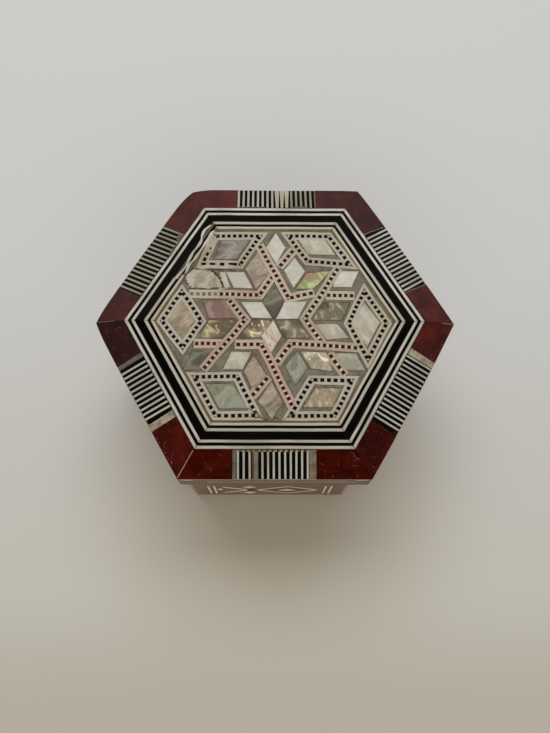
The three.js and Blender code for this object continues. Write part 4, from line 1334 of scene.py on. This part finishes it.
class INLAIDBOX_OT_striped_blocks(InlaidBoxOperator, bpy.types.Operator):
    """Builds the striped blocks of the rim from single black and white veneers"""

    bl_idname = "inlaid_box.striped_blocks"
    bl_label = "Striped blocks"

    def make(self):
        for k, side in enumerate(SIDES):
            self.block(k, side)

    def block(self, k, side):
        """Stripes run up the slope, black and white by turns, with slips of pale wood between them."""
        (first, last), runs, lean, slips = BLOCKS[side]
        rng = np.random.default_rng(30 + k)
        stock = Stock()
        top = BLOCK_INNER + (DOTS_DEPTH if side == "front" else 0.0)
        for j, (a, b, finish, foot) in enumerate(self.stripes(first, last, runs, slips, side)):
            slip, spread = finish in SLIPS, finish == SPREAD
            drift = 0.0 if slip else lean + rng.normal(0, 0.04)
            grow = 0.5 * (foot - (b - a)) if spread else 0.0
            near = BLOCK_INNER if slip else top
            corners = [(a, near), (b, near), (b + drift + grow, BLOCK_OUTER), (a + drift - grow, BLOCK_OUTER)]
            place = on_rim(k, 0.01 if spread else 0.0)
            tiles(stock, [corners], place, 1.0, 0.05, (1, 10), finish=finish, seed=100 * k + j, rim=0.12)
        if side == "front":
            self.dots(stock, on_rim(k))
        for start, end, depth in SMEARS.get(side, ()):
            inner, outer = BLOCK_INNER, BLOCK_INNER + depth
            patch = [(start, inner), (end, inner), (end - 1.2, outer), (start + 0.5, outer)]
            tiles(stock, [patch], on_rim(k, 0.03), 0.6, 0.05, (6, 3), finish=4, seed=k)
        finishes = list(STRIPE_FINISHES)
        # The sides nearest the front take their black darkened as painted shade
        if side in WHITE_SHARES:
            finishes[BLACK] = "deep_black_veneer"
        stock.piece(side + "_stripes", LID, finishes, "black_veneer", (side + "_striped_block",))

    def stripes(self, first, last, runs, slips, side):
        """Every stripe in order as (from, to, finish, width at the arris), with the black in between."""
        parts = [(a, b, finish, WHITE_WIDTH) for a, b, finish in slips]
        for start, spacing, number, finish in runs:
            spread = finish == SPREAD
            width = 1.25 * WHITE_WIDTH if spread else WHITE_WIDTH * WHITE_SHARES.get(side, 1.0)
            foot = WIDE_FOOT if spread else WHITE_WIDTH
            for middle in (start + j * spacing for j in range(number)):
                parts.append((middle - width / 2, middle + width / 2, finish, foot))
        stripes = []
        at = first + 0.03
        for a, b, finish, foot in sorted(parts):
            if a - at > 0.12:
                stripes.append((at, a, BLACK, None))
            stripes.append((a, b, finish, foot))
            at = b
        if last - at > 0.12:
            stripes.append((at, last - 0.03, BLACK, None))
        return stripes

    def dots(self, stock, place):
        """A row of small pale and dark squares along the inner edge of the front block."""
        stations = np.linspace(-12.0, 10.6, 28)
        ends = zip(stations[:-1], stations[1:])
        cells = [oblong(a, b, BLOCK_INNER, BLOCK_INNER + DOTS_DEPTH) for a, b in ends]
        tiles(stock, cells[::2], place, 1.0, 0.04, (1, 1), finish=2, seed=3, rim=0.1)
        tiles(stock, cells[1::2], place, 1.0, 0.04, (1, 1), finish=6, seed=4, rim=0.1)


# Border lines from the outside in: how wide each is next to the others, and its place in the finishes
LINE_WIDTHS = (1.0, 1.0, 0.92, 2.68, 1.0, 0.92, 0.9, 0.58)
LINE_SORTS = (0, 1, 0, 1, 2, 1, 3, 4)
LINE_FINISHES = (
    "line_bone", "black_veneer", "thin_line_bone", "inner_line_bone", "old_glue", "deep_black_veneer",
    "front_line_bone", "back_line_bone",
)
# How far each sort lies below the lid's top
LINE_DROPS = (0.0, 0.03, 0.0, 0.0, 0.08)
BANDS = (
    ("outer_lines", (0, 1, 2), "outer_line_band", "white_bone"),
    ("wide_black_line", (3,), "wide_black_band", "black_veneer"),
    ("inner_lines", (4, 5, 6, 7), "inner_line_band", "white_bone"),
)
# The white and the black of each side's lines, as places in the list of finishes. The front's white is
# darkened as painted shade, the back sides' white is lightened as painted light, and the black of the three
# sides nearest the front is darkened as painted shade
SIDE_TONES = {
    "front": (6, 5), "front_right": (0, 5), "back_right": (7, 1), "back": (7, 1), "back_left": (7, 1),
    "front_left": (0, 5),
}
# Two white lines that have come loose: which line, where its sound part begins, and the way it lies now
LIFTED_SIDE = "back_left"
LIFTED = {
    4: (3.4, (
        (-22.4, 36.2), (-24.3, 34.4), (-25.3, 32.1), (-25.5, 30.0), (-26.6, 27.7), (-28.1, 25.6),
        (-29.4, 22.6), (-30.7, 19.6), (-33.6, 15.5),
    )),
    6: (1.0, (
        (-21.2, 33.9), (-22.5, 32.3), (-23.3, 30.5), (-24.6, 28.0), (-26.5, 24.7), (-27.7, 22.6),
        (-29.3, 20.6), (-30.3, 17.2),
    )),
}
# The bed of old glue that shows where they were: its two ends along the side
BED_ENDS = (-22.0, 4.0)


class INLAIDBOX_OT_border_lines(InlaidBoxOperator, bpy.types.Operator):
    """Lays the seven mitred black and white lines of the border, and the line of filler inside them"""

    bl_idname = "inlaid_box.border_lines"
    bl_label = "Border lines"

    def make(self):
        room = BORDER_APOTHEM - PANEL_APOTHEM - 0.05
        scale = room / sum(LINE_WIDTHS)
        starts = BORDER_APOTHEM - np.concatenate([[0], np.cumsum(LINE_WIDTHS)]) * scale
        for name, lines, node, slot in BANDS:
            stock = Stock()
            for line in lines:
                for k in range(6):
                    self.line(stock, k, starts[line], starts[line + 1], line)
            stock.piece(name, LID, LINE_FINISHES, slot, (node,))

    def line(self, stock, k, outer, inner, line):
        """One line on one side, from mitre to mitre: at apothem a its end is at t = a tan 30."""
        (nx, ny), (tx, ty) = side_axes(k)
        lifted = LIFTED.get(line) if SIDES[k] == LIFTED_SIDE else None
        corners = []
        for a, sign in ((outer, -1), (outer, 1), (inner, 1), (inner, -1)):
            t = lifted[0] if lifted and sign < 0 else sign * (a * HALF_SIDE - 0.08)
            corners.append((a * nx + t * tx, a * ny + t * ty))
        sort = LINE_SORTS[line]
        place = on_lid(LID_TOP - LINE_DROPS[sort], 0.012, 0.02)
        finish = SIDE_TONES[SIDES[k]][sort] if sort < 2 else sort
        tiles(stock, [corners], place, 1.0, 0.06, (28, 2), finish=finish, seed=10 * k + line, rim=0.25)
        if lifted:
            ribbon(stock, lifted[1], 0.8, LID_TOP - 0.022, 0, line)
            start, end = BED_ENDS
            ways = ((start, inner), (start, outer), (end, outer), (end, inner))
            bed = [(a * nx + t * tx, a * ny + t * ty) for t, a in ways]
            tiles(stock, [bed], on_lid(LID_TOP - 0.3), 0.7, 0.02, (12, 1), finish=4, seed=line, rim=0.5)


# Shell pieces as they were cut: corners on the lid's face in millimetres, and the sort of shell
SHELLS = {
    "star_back": ((-0.4, 0.72), (-4.26, 7.03), (-0.4, 14.36), (3.16, 7.3), "green_abalone"),
    "star_back_right": ((0.19, 0.53), (3.16, 6.95), (10.97, 7.17), (7.8, 0.74), "white_pearl"),
    "star_back_left": ((-0.89, 0.87), (-4.26, 6.94), (-11.47, 6.92), (-7.61, 0.86), "white_pearl"),
    "star_front": ((-0.6, 0.38), (2.37, -5.39), (-1.09, -11.47), (-4.55, -5.41), "pink_pearl"),
    "star_front_left": ((-0.7, 0.13), (-7.42, 0.51), (-12.06, -6.06), (-4.65, -6), "dark_abalone"),
    "star_front_right": ((0.19, 0.23), (7.8, 0.34), (11.36, -6.02), (3.06, -6.03), "grey_abalone"),
    "point_back": ((0.29, 33.45), (3.8, 27.62), (0.49, 21.08), (-3.17, 27.6), "white_pearl"),
    "point_back_right": ((21.77, 18.66), (28.8, 18.68), (26.07, 12.29), (19.48, 12.27), "white_pearl"),
    "point_front_right": ((19.56, -11.28), (26.68, -11.42), (29.45, -17.49), (22.62, -17.5), "grey_pearl"),
    "point_front": ((-1.14, -20.88), (2.56, -28.27), (-0.89, -33.89), (-5.43, -27.88), "rosy_pearl"),
    "point_front_left": (
        (-27.06, -10.57), (-20.44, -11.75), (-23.99, -17.17), (-29.71, -17.38), "green_abalone",
    ),
    "pair_back_right_white": ((6.72, 23.96), (10.38, 18.43), (6.42, 12), (2.96, 18.61), "white_pearl"),
    "pair_back_right_bright": (
        (10.68, 17.74), (19.49, 18.65), (13.25, 12.01), (6.92, 11.6), "bright_abalone",
    ),
    "pair_right_grey": ((15.72, 6.88), (25.42, 6.9), (22.34, 0.47), (12.45, 0.06), "grey_abalone"),
    "pair_right_white": ((13.24, -1.13), (20.66, -0.72), (24.41, -6.04), (17, -6.95), "cream_pearl"),
    "pair_front_right_glint": (
        (8.2, -10.81), (16.89, -11.09), (18.87, -17.7), (11.65, -16.72), "glint_abalone",
    ),
    "pair_front_right_green": (
        (7.31, -10.52), (10.86, -16.72), (6.71, -22.55), (3.25, -15.95), "green_pearl",
    ),
    "pair_front_left_rosy": (
        (-6.92, -11.92), (-2.57, -19.31), (-6.92, -24.64), (-10.17, -17.64), "tan_pearl",
    ),
    "pair_front_left_white": (
        (-14.32, -10.85), (-7.51, -10.84), (-10.37, -17.25), (-16.79, -17.26), "cream_pearl",
    ),
    "pair_left_mauve": ((-24.41, 7.49), (-16.21, 7.5), (-12.45, 0.85), (-21.93, 0.83), "mauve_abalone"),
    "pair_left_gold": ((-21.93, 0.19), (-12.36, 0.21), (-17.29, -6.32), (-25.19, -6.33), "gold_abalone"),
    "pair_back_left_white": (
        (-16.81, 18.12), (-10.39, 18.14), (-7.42, 11.77), (-13.94, 11.95), "white_pearl",
    ),
    "pair_back_left_rosy": ((-5.74, 25.81), (-1.39, 16.92), (-6.53, 11.57), (-10.19, 19.28), "rosy_pearl"),
    "pearl_back_right": ((8.11, 30.7), (17.32, 31.22), (21.08, 24.5), (11.38, 24.77), "cream_pearl"),
    "pearl_back_left": ((-18.4, 30.83), (-8.32, 30.65), (-13.26, 22.73), (-21.16, 22.71), "dusky_pearl"),
    "pearl_left": ((-30.73, 8.85), (-26.03, 0.38), (-31.2, -8.9), (-35.75, 0.36), "tan_pearl"),
    "pearl_front_left": ((-22.51, -22), (-13.43, -22.08), (-8.39, -30.25), (-17.67, -30.26), "green_pearl"),
    "pearl_front_right": ((13.03, -23.23), (21.73, -23.22), (18.17, -29.83), (8.98, -29.84), "golden_pearl"),
    "pearl_right": ((30.17, 6.91), (35.11, -0.59), (30.25, -9.19), (25.41, -0.91), "cream_pearl"),
}
# The node that each kind of shell piece stands for, round the name of its place
SHELL_NODES = {
    "star": "middle_star", "point": "{}_point_lozenge", "pair": "{}_paired_lozenges",
    "pearl": "{}_corner_pearl",
}
WHITE_SORTS = ("white_pearl", "pink_pearl", "cream_pearl")


class INLAIDBOX_OT_shells(InlaidBoxOperator, bpy.types.Operator):
    """Sets the hand-cut lozenges of shell into the star panel"""

    bl_idname = "inlaid_box.shells"
    bl_label = "Shell lozenges"

    def make(self):
        edge = sizes().cut_edge / MM
        for number, (name, (*corners, sort)) in enumerate(SHELLS.items()):
            stock = Stock()
            glue_line(stock, corners, 1, number)
            place = on_lid(LID_TOP - 0.03, 0.015)
            tiles(stock, [corners], place, 0.5, edge, (12, 12), 0.03, seed=number, rim=0.7, smooth=True)
            pearl = "white_pearl" if sort in WHITE_SORTS else "grey_pearl"
            slot = "abalone" if "abalone" in sort else pearl
            stock.piece(name, LID, (sort, "glue"), slot, (self.node(name),))

    def node(self, name):
        """The node of a shell piece, from its name: its kind, its place and, in a pair, its tint."""
        kind, place = name.split("_", 1)
        return SHELL_NODES[kind].format(place.rsplit("_", 1)[0] if kind == "pair" else place)


# The putty on the lid's face: its middle, and points round its edge
PUTTY_MIDDLE = (-24.2, 15.4)
PUTTY_EDGE = (
    (-30.4, 15.8), (-28.5, 18.3), (-26.6, 19.3), (-24.9, 19.7), (-22.3, 18.9), (-20.9, 17.6), (-19.6, 16.1),
    (-18.6, 14.1), (-17.9, 12.5), (-20.6, 12.1), (-24.4, 12.0), (-28.1, 11.9), (-29.7, 13.8),
)
# The plain bone stub beside the putty
STUB = ((-18.7, 17.9), (-17.0, 18.1), (-15.0, 12.2), (-16.9, 12.0))
# Brown cracks where the glue has lifted: the path of each on the lid's face, and its width
CRACKS = (
    (((-21.8, 18.9), (-20.2, 17.5), (-18.9, 15.6), (-17.4, 12.6)), 0.6),
    (((-29.6, 13.2), (-30.9, 15.4), (-29.4, 18.2), (-27.4, 19.6)), 0.35),
    (((-8.6, -29.9), (-7.2, -31.0), (-5.6, -31.7), (-4.6, -32.6), (-3.8, -33.6)), 0.28),
    (((-6.4, -33.4), (-4.8, -33.1), (-3.4, -33.8), (-2.0, -33.5)), 0.34),
    (((-0.8, -33.7), (0.1, -33.1), (1.2, -33.6)), 0.4),
    (((2.8, -33.9), (4.2, -32.8), (5.6, -31.8)), 0.16),
    (((-21.6, 33.2), (-20.3, 31.9), (-19.4, 32.6)), 0.4),
    (((-26.9, 19.0), (-22.0, 18.7), (-18.2, 18.9), (-13.0, 18.6)), 0.3),
    (((-28.9, 11.6), (-26.0, 11.9), (-22.4, 11.5), (-18.6, 12.0)), 0.34),
)


# The chamfer of the panel's edge: how far in, and how far down
PANEL_EDGE = ((0.0, 0.1), (0.1, 0.0))
PUTTY_RAYS = 96


class INLAIDBOX_OT_panel_ground(InlaidBoxOperator, bpy.types.Operator):
    """Fills the star panel with set filler, and patches the lost lozenge with pale putty"""

    bl_idname = "inlaid_box.panel_ground"
    bl_label = "Panel ground"

    def make(self):
        def top(x, y):
            fine = 0.012 * np.sin(5.1 * x + 1.7 * np.sin(3.3 * y)) * np.sin(4.7 * y)
            return LID_TOP - 0.14 + waver(2.2 * x, 2.2 * y, 0.016, 3.0) + fine

        stock = Stock()
        hexagon_plate(stock, PANEL_APOTHEM, BOARD_TOP, top, 0.0, 90, PANEL_EDGE)
        tiles(stock, [STUB], on_lid(LID_TOP - 0.03), 0.4, 0.05, (6, 2), finish=2, seed=3, rim=0.2)
        for number, (path, width) in enumerate(CRACKS):
            ribbon(stock, path, width, LID_TOP - 0.022, 1, number)
        finishes = ("filler", "brown_horn", "frame_bone")
        stock.piece("panel_filler", LID, finishes, "dark_filler", ("star_ground",))
        self.patch()

    def patch(self):
        """A lump of putty: polar rings out to the edge met at each angle, their height wavering."""
        angle = np.linspace(0, 2 * math.pi, PUTTY_RAYS, endpoint=False)
        share = np.linspace(0, 1, 26)[1:]
        middle_x, middle_y = PUTTY_MIDDLE
        edge = np.array(PUTTY_EDGE) - PUTTY_MIDDLE
        turn = np.arctan2(edge[:, 1], edge[:, 0]) % (2 * math.pi)
        order = np.argsort(turn)
        reach = np.interp(angle, turn[order], np.hypot(edge[:, 0], edge[:, 1])[order], period=2 * math.pi)
        reach = reach * (1 + 0.022 * np.sin(11 * angle + 1) + 0.018 * np.sin(23 * angle))
        x = middle_x + share[:, None] * reach * np.cos(angle)
        y = middle_y + share[:, None] * reach * np.sin(angle)
        lump = 0.05 * np.sin(3.1 * x) * np.sin(3.7 * y + 1) + 0.03 * np.sin(7.3 * x + 2 * y)
        z = LID_TOP - 0.05 - 0.12 * share[:, None] ** 8 + lump * 0.5
        rings = np.stack([x, y, z], -1)
        foot = rings[-1] * np.array([1.0, 1.0, 0.0]) + np.array([0.0, 0.0, BOARD_TOP + 0.6])
        pole = [middle_x, middle_y, LID_TOP - 0.05]
        stock = Stock()
        dome(stock, pole, rings, foot, np.zeros(1 + (len(share) + 1) * PUTTY_RAYS))
        stock.piece("putty_patch", LID, ("putty",), "dark_filler", ("back_left_point_lozenge",))


# Corner frames: outer corners on the lid's face in millimetres, in order round the lozenge
FRAME_CORNERS = {
    "back_right": ((1.88, 33.55), (19.6, 33.6), (28.6, 19.27), (10.28, 20.71)),
    "back_left": ((-21.87, 33.49), (-2.28, 33.54), (-11.03, 19.37), (-26.99, 19.33)),
    "left": ((-31.33, 13.59), (-22.53, -0.21), (-30.11, -12.35), (-39.4, -0.24)),
    "front_left": ((-28.72, -18.07), (-11.16, -18.04), (-3.26, -34.09), (-19.64, -34.1)),
    "front_right": ((11.06, -18.99), (27.37, -19.36), (19.84, -34.16), (1.97, -34.08)),
    "right": ((30.18, 14.23), (38.97, -0.78), (30.14, -17.09), (22.74, -0.81)),
}
FRAME_WIDTH = 3.1
FRAME_STRIPS = (0.0, 0.3, 0.7, 1.0)
GLUE_WIDTH = 0.16
# How much of its spacing a black square takes up
SQUARE_SHARE = 0.6


def inset_corners(corners, distance):
    """The corners of a four-sided outline moved in by a distance from every side."""
    corners = np.asarray(corners, float)
    middle = corners.mean(0)
    lines = []
    for j in range(4):
        p, q = corners[j], corners[(j + 1) % 4]
        d = (q - p) / np.linalg.norm(q - p)
        n = np.array([-d[1], d[0]])
        n = n if np.dot(middle - p, n) > 0 else -n
        lines.append((p + n * distance, d))
    return np.array([crossing(*lines[j - 1], *lines[j]) for j in range(4)])


# Smeared squares left on the worn frame, by its side: the place of each, its length and its width
WORN_SQUARES = {
    2: (
        (-24.3, 20.9, 1.5, 0.9), (-21.3, 21.0, 1.9, 0.8), (-18.0, 21.0, 1.8, 1.1), (-14.6, 21.3, 2.8, 1.3),
        (-12.0, 21.1, 0.8, 1.1),
    ),
    3: ((-22.2, 27.1, 0.9, 0.7), (-23.2, 24.8, 1.6, 0.8), (-23.9, 22.7, 1.5, 1.1), (-19.9, 31.6, 1.2, 0.7)),
}


def smeared(edge, along):
    """Corners of the smeared squares of one worn side, each turned along it and pulled out of true."""
    rng = np.random.default_rng(edge)
    place = np.array(WORN_SQUARES[edge])
    left = np.array([-along[1], along[0]])
    corners = np.array([(-0.5, -0.5), (0.5, -0.5), (0.5, 0.5), (-0.5, 0.5)])
    corners = corners + rng.uniform(-0.14, 0.14, (len(place), 4, 2))
    long, wide = corners[..., :1] * place[:, None, 2:3], corners[..., 1:] * place[:, None, 3:4]
    return place[:, None, :2] + long * along + wide * left


def glue_line(stock, corners, finish, seed):
    """The dark line of glue round a set piece: its outline moved out a little, just under its top."""
    grown = inset_corners(corners, -GLUE_WIDTH)
    tiles(stock, [grown], on_lid(LID_TOP - 0.09), 0.4, 0.03, (8, 8), finish=finish, seed=seed, rim=0.1)


def ribbon(stock, path, width, level, finish, seed):
    """A lifted sliver: a flat four-cornered section carried along a smooth path through the points.

    The path is a Catmull-Rom curve, p(u) = the usual cubic blend of four neighbours, and the section
    stands square to it, width across, with its height wavering along the way.
    """
    points = np.asarray(path, float)
    ends = np.concatenate([2 * points[:1] - points[1:2], points, 2 * points[-1:] - points[-2:-1]])
    u = np.linspace(0, 1, 12, endpoint=False)[:, None]
    runs = []
    for a, b, c, d in zip(ends[:-3], ends[1:-2], ends[2:-1], ends[3:]):
        bend = (2 * a - 5 * b + 4 * c - d) * u**2
        runs.append(0.5 * (2 * b + (c - a) * u + bend + (3 * b - a - 3 * c + d) * u**3))
    line = np.concatenate(runs + [points[-1:]])
    along = np.gradient(line, axis=0)
    along /= np.linalg.norm(along, axis=1)[:, None]
    left = np.stack([-along[:, 1], along[:, 0]], -1)
    station = np.linspace(0, 1, len(line))
    half = width / 2 * (1 + 0.25 * np.sin(23 * station + seed))[:, None]
    top = level + 0.02 * np.sin(31 * station + 2 * seed)
    rows = []
    for side, height in ((-1, -0.4), (1, -0.4), (1, -0.03), (0.8, 0.0), (-0.8, 0.0), (-1, -0.03)):
        flat = line + side * half * left
        rows.append(np.stack([flat[:, 0], flat[:, 1], top + height], -1))
    loft(stock, np.stack(rows, 1), finish=finish, shade=0.3)


class INLAIDBOX_OT_corner_frames(InlaidBoxOperator, bpy.types.Operator):
    """Frames each corner pearl with two bone strips and a row of black squares"""

    bl_idname = "inlaid_box.corner_frames"
    bl_label = "Corner frames"

    def make(self):
        for number, corner in enumerate(CORNERS):
            outer = np.array(FRAME_CORNERS[corner])
            rings = [inset_corners(outer, FRAME_WIDTH * share) for share in FRAME_STRIPS]
            stock = Stock()
            edges = [inset_corners(outer, d) for d in (-GLUE_WIDTH, FRAME_WIDTH + GLUE_WIDTH)]
            bands = [self.mitred(*edges, j) for j in range(4)]
            tiles(stock, bands, on_lid(LID_TOP - 0.09), 0.4, 0.03, (14, 1), finish=3, seed=number, rim=0.1)
            for edge in range(4):
                worn_side = corner == "back_left" and edge in WORN_SQUARES
                self.side(stock, rings, edge, number, worn_side)
            glue = "glue" if corner == "left" else "yellow_glue"
            finishes = ("frame_bone", "black_veneer", "chalky_bone", glue)
            stock.piece(corner + "_frame", LID, finishes, "white_bone", (corner + "_dotted_frame",))

    def mitred(self, outside, inside, edge):
        """Corners of the strip along one side between two outlines, mitred at both its ends."""
        after = (edge + 1) % 4
        return [outside[edge], outside[after], inside[after], inside[edge]]

    def side(self, stock, rings, edge, number, worn_side):
        """One side of a frame: two bone strips with the squares and their fillets between them."""
        bone = 2 if worn_side else 0
        for inside, outside in ((1, 0), (3, 2)):
            band = [self.mitred(rings[outside], rings[inside], edge)]
            seed = 7 * number + edge
            tiles(stock, band, on_lid(LID_TOP - 0.02), 0.5, 0.06, (14, 1), finish=bone, seed=seed, rim=0.2)
        after = (edge + 1) % 4
        start = (rings[1][edge] + rings[2][edge]) / 2
        end = (rings[1][after] + rings[2][after]) / 2
        width = FRAME_WIDTH * (FRAME_STRIPS[2] - FRAME_STRIPS[1]) - 0.03
        squares, fillets = row_of_squares(start, end, width, sizes().square_spacing / MM, SQUARE_SHARE)
        level = LID_TOP - 0.03
        if worn_side:
            squares = smeared(edge, (end - start) / np.linalg.norm(end - start))
            fillets = [self.mitred(rings[1], rings[2], edge)]
        tiles(stock, squares, on_lid(level), 0.5, 0.03, (1, 1), finish=1, seed=number, rim=0.1)
        level -= 0.02 if worn_side else 0.0
        tiles(stock, fillets, on_lid(level), 0.5, 0.03, (1, 1), finish=bone, seed=number, rim=0.2)


# Straps: points of each bent strap's middle line on the lid's face, in millimetres, then the stub
# that shows again beyond the strap it passes under
STRAPS = (
    (((-5.45, 28.49), (4.74, 8.24), (13.15, 10.43)), ((17.11, 9.45), (26.9, 9.18))),
    (((21.87, 19.85), (10.08, 0.84), (15.51, -7.84)), ((17.78, -11.58), (22.72, -19.07))),
    (((27.38, -9.5), (5.23, -8.05), (0.39, -15.16)), ((-2.18, -19.41), (-7.51, -26.41))),
    (((5.52, -29.55), (-4.35, -8.37), (-13.14, -8.38)), ((-16.99, -8.29), (-26.56, -8.21))),
    (((-23.2, -17.17), (-9.79, 0.31), (-15.42, 7.7)), ((-17.3, 11.45), (-18.29, 16.59))),
    (((-28.95, 9.85), (-5.24, 9.4), (-0.4, 16.83)), ((1.48, 20), (6.53, 26.74))),
)


# The bone and the horn of each strap's first arm and of the rest of it, as places in the list of finishes
STRAP_SORTS = (
    ((9, 3), (9, 3)), ((2, 3), (1, 3)), ((1, 3), (1, 3)), ((0, 4), (9, 4)), ((1, 4), (1, 3)),
    ((1, 3), (9, 3)),
)
STRAP_FINISHES = (
    "rosy_bone", "beige_bone", "cream_bone", "dark_horn", "red_horn", "fillet_bone", "glue", "chalky_bone",
    "filler", "pale_rosy_bone",
)
# Places in that list
FILLET = 5
STRAP_GLUE = 6
WORN_SORTS = (7, 8)
# The strap whose first arm is worn and how much of that arm, and the strap whose stub is worn
WORN_STRAP = 5
WORN_SHARE = 0.42
WORN_STUB = 4


class INLAIDBOX_OT_strapwork(InlaidBoxOperator, bpy.types.Operator):
    """Lays the bent dotted straps that cross over and under round the star"""

    bl_idname = "inlaid_box.strapwork"
    bl_label = "Strapwork"

    def make(self):
        stock = Stock()
        for number, (bent, stub) in enumerate(STRAPS):
            bent, stub = np.array(bent), np.array(stub)
            first, second = bent[1] - bent[0], bent[2] - bent[1]
            first, second = first / np.linalg.norm(first), second / np.linalg.norm(second)
            mitre = first - second
            first_arm, rest = STRAP_SORTS[number]
            if number == WORN_STRAP:
                split = bent[0] + (bent[1] - bent[0]) * WORN_SHARE
                self.arm(stock, bent[0], split, None, None, -0.03, 3 * number, *WORN_SORTS)
                bent[0] = split
            self.arm(stock, bent[0], bent[1], None, mitre, -0.01, 3 * number, *first_arm)
            self.arm(stock, bent[1], bent[2], mitre, None, -0.04, 3 * number + 1, *rest)
            rest = WORN_SORTS if number == WORN_STUB else rest
            self.arm(stock, stub[0], stub[1], None, None, -0.04, 3 * number + 2, *rest)
        stock.piece("strapwork", LID, STRAP_FINISHES, "rosy_bone", ("dotted_strapwork",))

    def arm(self, stock, start, end, first_cut, last_cut, lift, seed, bone, horn):
        """One straight arm: a line of glue, two bone strips and between them the squares and fillets."""
        half = sizes().strap_width / MM / 2
        row = sizes().square_width / MM / 2
        place = on_lid(LID_TOP + lift)
        cuts = (first_cut, last_cut)
        glue = [strip(start, end, -half - GLUE_WIDTH, half + GLUE_WIDTH, *cuts)]
        below = on_lid(LID_TOP + lift - 0.06)
        tiles(stock, glue, below, 0.4, 0.03, (14, 1), finish=STRAP_GLUE, seed=seed, rim=0.1)
        for low_side, high_side in ((-half, -row), (row, half)):
            band = [strip(start, end, low_side, high_side, *cuts)]
            tiles(stock, band, place, 0.5, 0.06, (14, 1), finish=bone, seed=seed, rim=0.2)
        spacing = sizes().square_spacing / MM
        squares, fillets = row_of_squares(start, end, 2 * row - 0.03, spacing, SQUARE_SHARE)
        tiles(stock, squares, place, 0.5, 0.03, (1, 1), finish=horn, seed=seed, rim=0.1)
        fillet = FILLET if bone < FILLET else bone
        tiles(stock, fillets, place, 0.5, 0.03, (1, 1), finish=fillet, seed=seed, rim=0.1)


# Hinges


class INLAIDBOX_OT_hinges(InlaidBoxOperator, bpy.types.Operator):
    """Gives the two butt hinges their brass"""

    bl_idname = "inlaid_box.hinges"
    bl_label = "Hinges"

    def make(self):
        for side in ("left", "right"):
            for part in ("body_leaf", "lid_leaf", "pin"):
                refinish(f"hinge_{side}_{part}", "brass")


OPERATORS = (
    INLAIDBOX_OT_stage,
    INLAIDBOX_OT_woodwork,
    INLAIDBOX_OT_wall_ornament,
    INLAIDBOX_OT_lining,
    INLAIDBOX_OT_rails,
    INLAIDBOX_OT_striped_blocks,
    INLAIDBOX_OT_border_lines,
    INLAIDBOX_OT_panel_ground,
    INLAIDBOX_OT_shells,
    INLAIDBOX_OT_corner_frames,
    INLAIDBOX_OT_strapwork,
    INLAIDBOX_OT_hinges,
)


class INLAIDBOX_PT_panel(bpy.types.Panel):
    """Sizes, colours and steps of the inlaid box"""

    bl_label = "Inlaid Box"
    bl_space_type = "VIEW_3D"
    bl_region_type = "UI"
    bl_category = "Inlaid Box"

    def draw(self, context):
        for group in (context.scene.inlaid_box_sizes, context.scene.inlaid_box_colours):
            column = self.layout.column(align=True)
            for name in group.__annotations__:
                column.prop(group, name)
        for operator in OPERATORS:
            self.layout.operator(operator.bl_idname)


CLASSES = (InlaidBoxSizes, InlaidBoxColours, *OPERATORS, INLAIDBOX_PT_panel)


def register():
    for cls in CLASSES:
        bpy.utils.register_class(cls)
    bpy.types.Scene.inlaid_box_sizes = bpy.props.PointerProperty(type=InlaidBoxSizes)
    bpy.types.Scene.inlaid_box_colours = bpy.props.PointerProperty(type=InlaidBoxColours)


def unregister():
    del bpy.types.Scene.inlaid_box_colours
    del bpy.types.Scene.inlaid_box_sizes
    for cls in reversed(CLASSES):
        bpy.utils.unregister_class(cls)


def main():
    register()
    make_finishes(colours())
    for operator in OPERATORS:
        getattr(bpy.ops.inlaid_box, operator.bl_idname.split(".")[1])()


if __name__ == "__main__":
    main()
